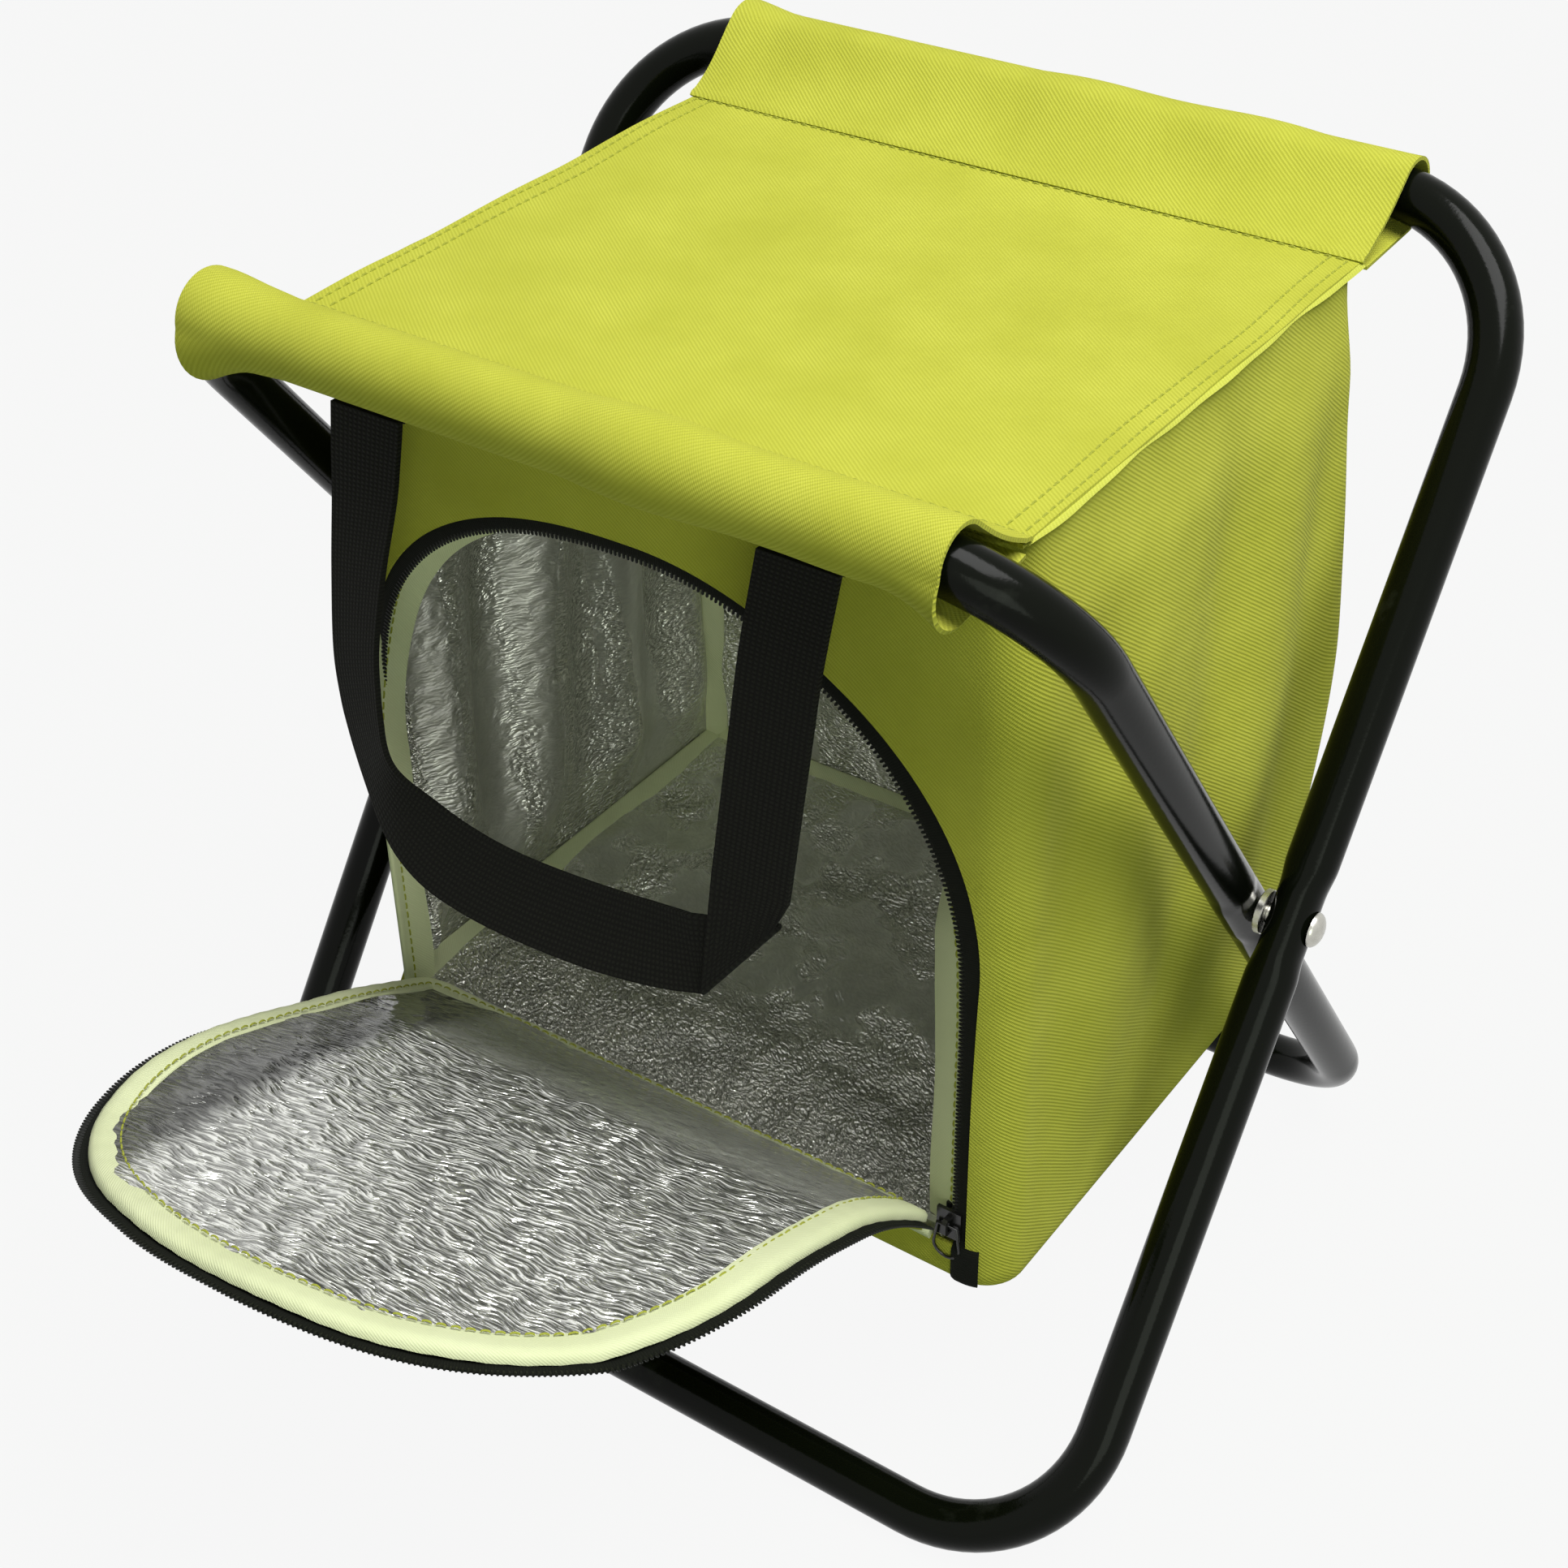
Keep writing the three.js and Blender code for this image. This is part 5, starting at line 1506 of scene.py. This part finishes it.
# The webbing of the front handle, from its left end round the foot to the slanting fold, and
# on up to its right end: middle (x, z), direction across the strap (x, y, z), depth in front
LEFT_RUN = (
    ((-0.0718, 0.3372), (1, 0, 0), 0.0),
    ((-0.0732, 0.3230), (0.99, -0.02, 0.08), 0.0),
    ((-0.0746, 0.3100), (0.97, -0.05, 0.17), 0.0),
    ((-0.0784, 0.2865), (0.94, -0.15, 0.28), 0.0),
    ((-0.0812, 0.2606), (0.88, -0.20, 0.40), 0.0),
    ((-0.0806, 0.2452), (0.84, -0.23, 0.48), 0.0),
    ((-0.0791, 0.2347), (0.79, -0.26, 0.54), 0.0),
    ((-0.0770, 0.2257), (0.71, -0.26, 0.64), 0.0),
    ((-0.0738, 0.2180), (0.60, -0.18, 0.76), 0.0),
    ((-0.0690, 0.2115), (0.50, 0.00, 0.86), 0.0),
    ((-0.0610, 0.2058), (0.40, 0.25, 0.88), 0.0),
    ((-0.0497, 0.2010), (0.33, 0.42, 0.85), 0.0),
    ((-0.0345, 0.1984), (0.26, 0.48, 0.84), 0.0),
    ((-0.0160, 0.1980), (0.17, 0.50, 0.85), 0.0),
    ((0.0084, 0.1997), (0.02, 0.46, 0.89), 0.0),
    ((0.0290, 0.2025), (-0.12, 0.30, 0.95), -0.0004),
    ((0.0420, 0.2048), (-0.20, 0.10, 0.97), -0.0012),
)
# The slanting fold: its two ends, how far it bulges, which way, and half its thickness
FOLD_LOW, FOLD_HIGH = np.array([0.0462, 0.1950]), np.array([0.0695, 0.2262])
FOLD_BULGE, FOLD_WAY, FOLD_THICK = 0.0003, np.array([0.8, -0.6]), 0.0013
RIGHT_RUN = (
    ((0.0615, 0.2360), (1, 0, 0), 0.0014),
    ((0.0635, 0.2600), (1, 0, 0), 0.0010),
    ((0.0655, 0.2850), (1, 0, 0), 0.0004),
    ((0.0675, 0.3080), (1, 0, 0), 0.0),
    ((0.0718, 0.3372), (1, 0, 0), 0.0),
)


def handle_point(x, z, out):
    return np.array([x, HANDLE_Y - (HANDLE_Z - z) * tan(HANDLE_LEAN) - out, z])


def smooth_run(stations, steps):
    """A Catmull-Rom line through rows of numbers."""
    rows = np.array(stations, float)
    padded = np.vstack([2 * rows[0] - rows[1], rows, 2 * rows[-1] - rows[-2]])
    found = []
    for i in range(len(rows) - 1):
        a, b, c, d = padded[i:i + 4]
        for t in np.linspace(0, 1, steps, endpoint=False):
            found.append(0.5 * (2 * b + (c - a) * t + (2 * a - 5 * b + 4 * c - d) * t ** 2
                                + (3 * b - a - 3 * c + d) * t ** 3))
    found.append(rows[-1])
    return np.array(found)


def ribbon(edges):
    """Flat webbing between two edges, given as rows of (first edge, second edge)."""
    edges = np.asarray(edges)
    across = 9
    shares = np.linspace(0, 1, across)
    first, second = edges[:, 0][:, None], edges[:, 1][:, None]
    points = first * (1 - shares)[None, :, None] + second * shares[None, :, None]
    along = running(edges.mean(1))
    uvs = np.array([(d, share * STRAP_WIDTH) for d in along for share in shares])
    points = points.reshape(-1, 3)
    faces = grid_faces(across, len(edges))
    normals = point_normals(points, faces)
    return thicken(points + normals * STRAP_THICKNESS / 2, faces, uvs, STRAP_THICKNESS)


def run_edges(stations):
    rows = [(x, z, *across, out) for (x, z), across, out in stations]
    edges = []
    for x, z, ax, ay, az, out in smooth_run(rows, 8):
        width = np.array([ax, ay, az])
        width *= STRAP_WIDTH / 2 / np.linalg.norm(width)
        centre = handle_point(x, z, out)
        edges.append((centre - width, centre + width))
    return edges


def handle_edges():
    first = run_edges(LEFT_RUN)
    last = run_edges(RIGHT_RUN)
    fold_rows = []
    for angle in np.linspace(0, pi, 9):
        out = -FOLD_THICK * cos(angle)
        shift = FOLD_WAY * FOLD_BULGE * sin(angle)
        low, high = FOLD_LOW + shift, FOLD_HIGH + shift
        fold_rows.append((handle_point(*low, out), handle_point(*high, out)))
    return first + fold_rows + last


front_edges = np.array(handle_edges())
for name, turn in (("front_handle", 1), ("back_handle", -1)):
    points, faces, uvs = ribbon(front_edges * (turn, turn, 1))
    made = piece(f"{name}_webbing", points, faces, uvs, name, WEBBING, "webbing")
    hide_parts(name)
    tabs = []
    for side in (-1, 1):
        x = side * STRAP_SPACING / 2
        edges = []
        for share in np.linspace(0, 1, 12):
            y = -(BAG_FRONT + CLEARANCE) - share * TAB_LENGTH
            z = TAB_ROOT_Z - TAB_DIP * share ** TAB_CURVE - STRAP_THICKNESS / 2
            edges.append((np.array([x - STRAP_WIDTH / 2, y, z]) * (turn, turn, 1),
                          np.array([x + STRAP_WIDTH / 2, y, z]) * (turn, turn, 1)))
        tabs.append(ribbon(edges))
    body = "bag_front" if turn > 0 else "bag_back"
    made = piece(f"{name}_tabs", *combine(tabs), body, WEBBING, "webbing")
    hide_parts(f"{name}_tab_left", f"{name}_tab_right")


# Floor, light and camera

FLOOR_GLOW_SHARE, WORLD_FILL = 0.92, 0.05
FLOOR_REACH = 6.0


def seen(tree):
    """1 where the camera sees a thing straight, in a gloss or through another, else 0."""
    path = node(tree, "ShaderNodeLightPath").outputs
    straight = reckon(tree, "MAXIMUM", path["Is Camera Ray"], path["Is Glossy Ray"])
    return reckon(tree, "MAXIMUM", straight, path["Is Transmission Ray"])


def stage_material():
    """A plain pale floor that shows white, with a faint shadow of the object on it."""
    made, tree, shader = new_material("studio_floor")
    dress(tree, shader, {
        "Base Color": (0.15, 0.18, 0.13, 1), "Roughness": 0.9, "Specular IOR Level": 0.0})
    white = node(tree, "ShaderNodeEmission", {"Color": (1, 1, 1, 1), "Strength": 1.0})
    share = product(tree, seen(tree), FLOOR_GLOW_SHARE)
    mixed = node(tree, "ShaderNodeMixShader", {0: share, 1: shader.outputs[0], 2: white.outputs[0]})
    tree.links.new(mixed.outputs[0], tree.nodes["Material Output"].inputs["Surface"])
    return made


floor_mesh = bpy.data.meshes.new("studio_floor")
floor_corners = [(x * FLOOR_REACH, y * FLOOR_REACH, 0) for x, y in ((-1, -1), (1, -1), (1, 1), (-1, 1))]
floor_mesh.from_pydata(floor_corners, [], [(0, 1, 2, 3)])
floor_mesh.materials.append(stage_material())
floor = bpy.data.objects.new("studio_floor", floor_mesh)
bpy.context.scene.collection.objects.link(floor)

world = bpy.data.worlds.new("studio")
bpy.context.scene.world = world
world.use_nodes = True
tree = world.node_tree
strength = node(tree, "ShaderNodeMix", {0: seen(tree), 2: WORLD_FILL, 3: 1.0}, data_type="FLOAT")
dress(tree, tree.nodes["Background"], {"Color": (1, 1, 1, 1), "Strength": strength.outputs[0]})


def area_light(name, place, size, power, colour, target=(0, 0, 0.2)):
    data = bpy.data.lights.new(name, "AREA")
    data.energy = power
    data.color = colour
    data.size = size
    lamp = bpy.data.objects.new(name, data)
    lamp.location = place
    lamp.rotation_euler = (Vector(target) - Vector(place)).to_track_quat("-Z", "Y").to_euler()
    bpy.context.scene.collection.objects.link(lamp)


area_light("key", (0.85, -0.05, 2.35), 1.5, 66, (1, 1, 1))
area_light("side", (1.5, -1.7, 0.7), 1.2, 11, (0.9, 1, 0.85))

CAMERA_PLACE = (0.3848, -0.5682, 0.6656)
CAMERA_TURN = (radians(53.97), radians(0.88), radians(34.91))
camera_data = bpy.data.cameras.new("camera")
camera_data.sensor_width = 36
camera_data.lens = 58.96
camera = bpy.data.objects.new("camera", camera_data)
camera.location = Vector(CAMERA_PLACE) + Vector((0, PIVOT_Y, 0))
camera.rotation_euler = Euler(CAMERA_TURN, "XYZ")
bpy.context.scene.collection.objects.link(camera)
bpy.context.scene.camera = camera
bpy.context.scene.view_settings.view_transform = "Standard"
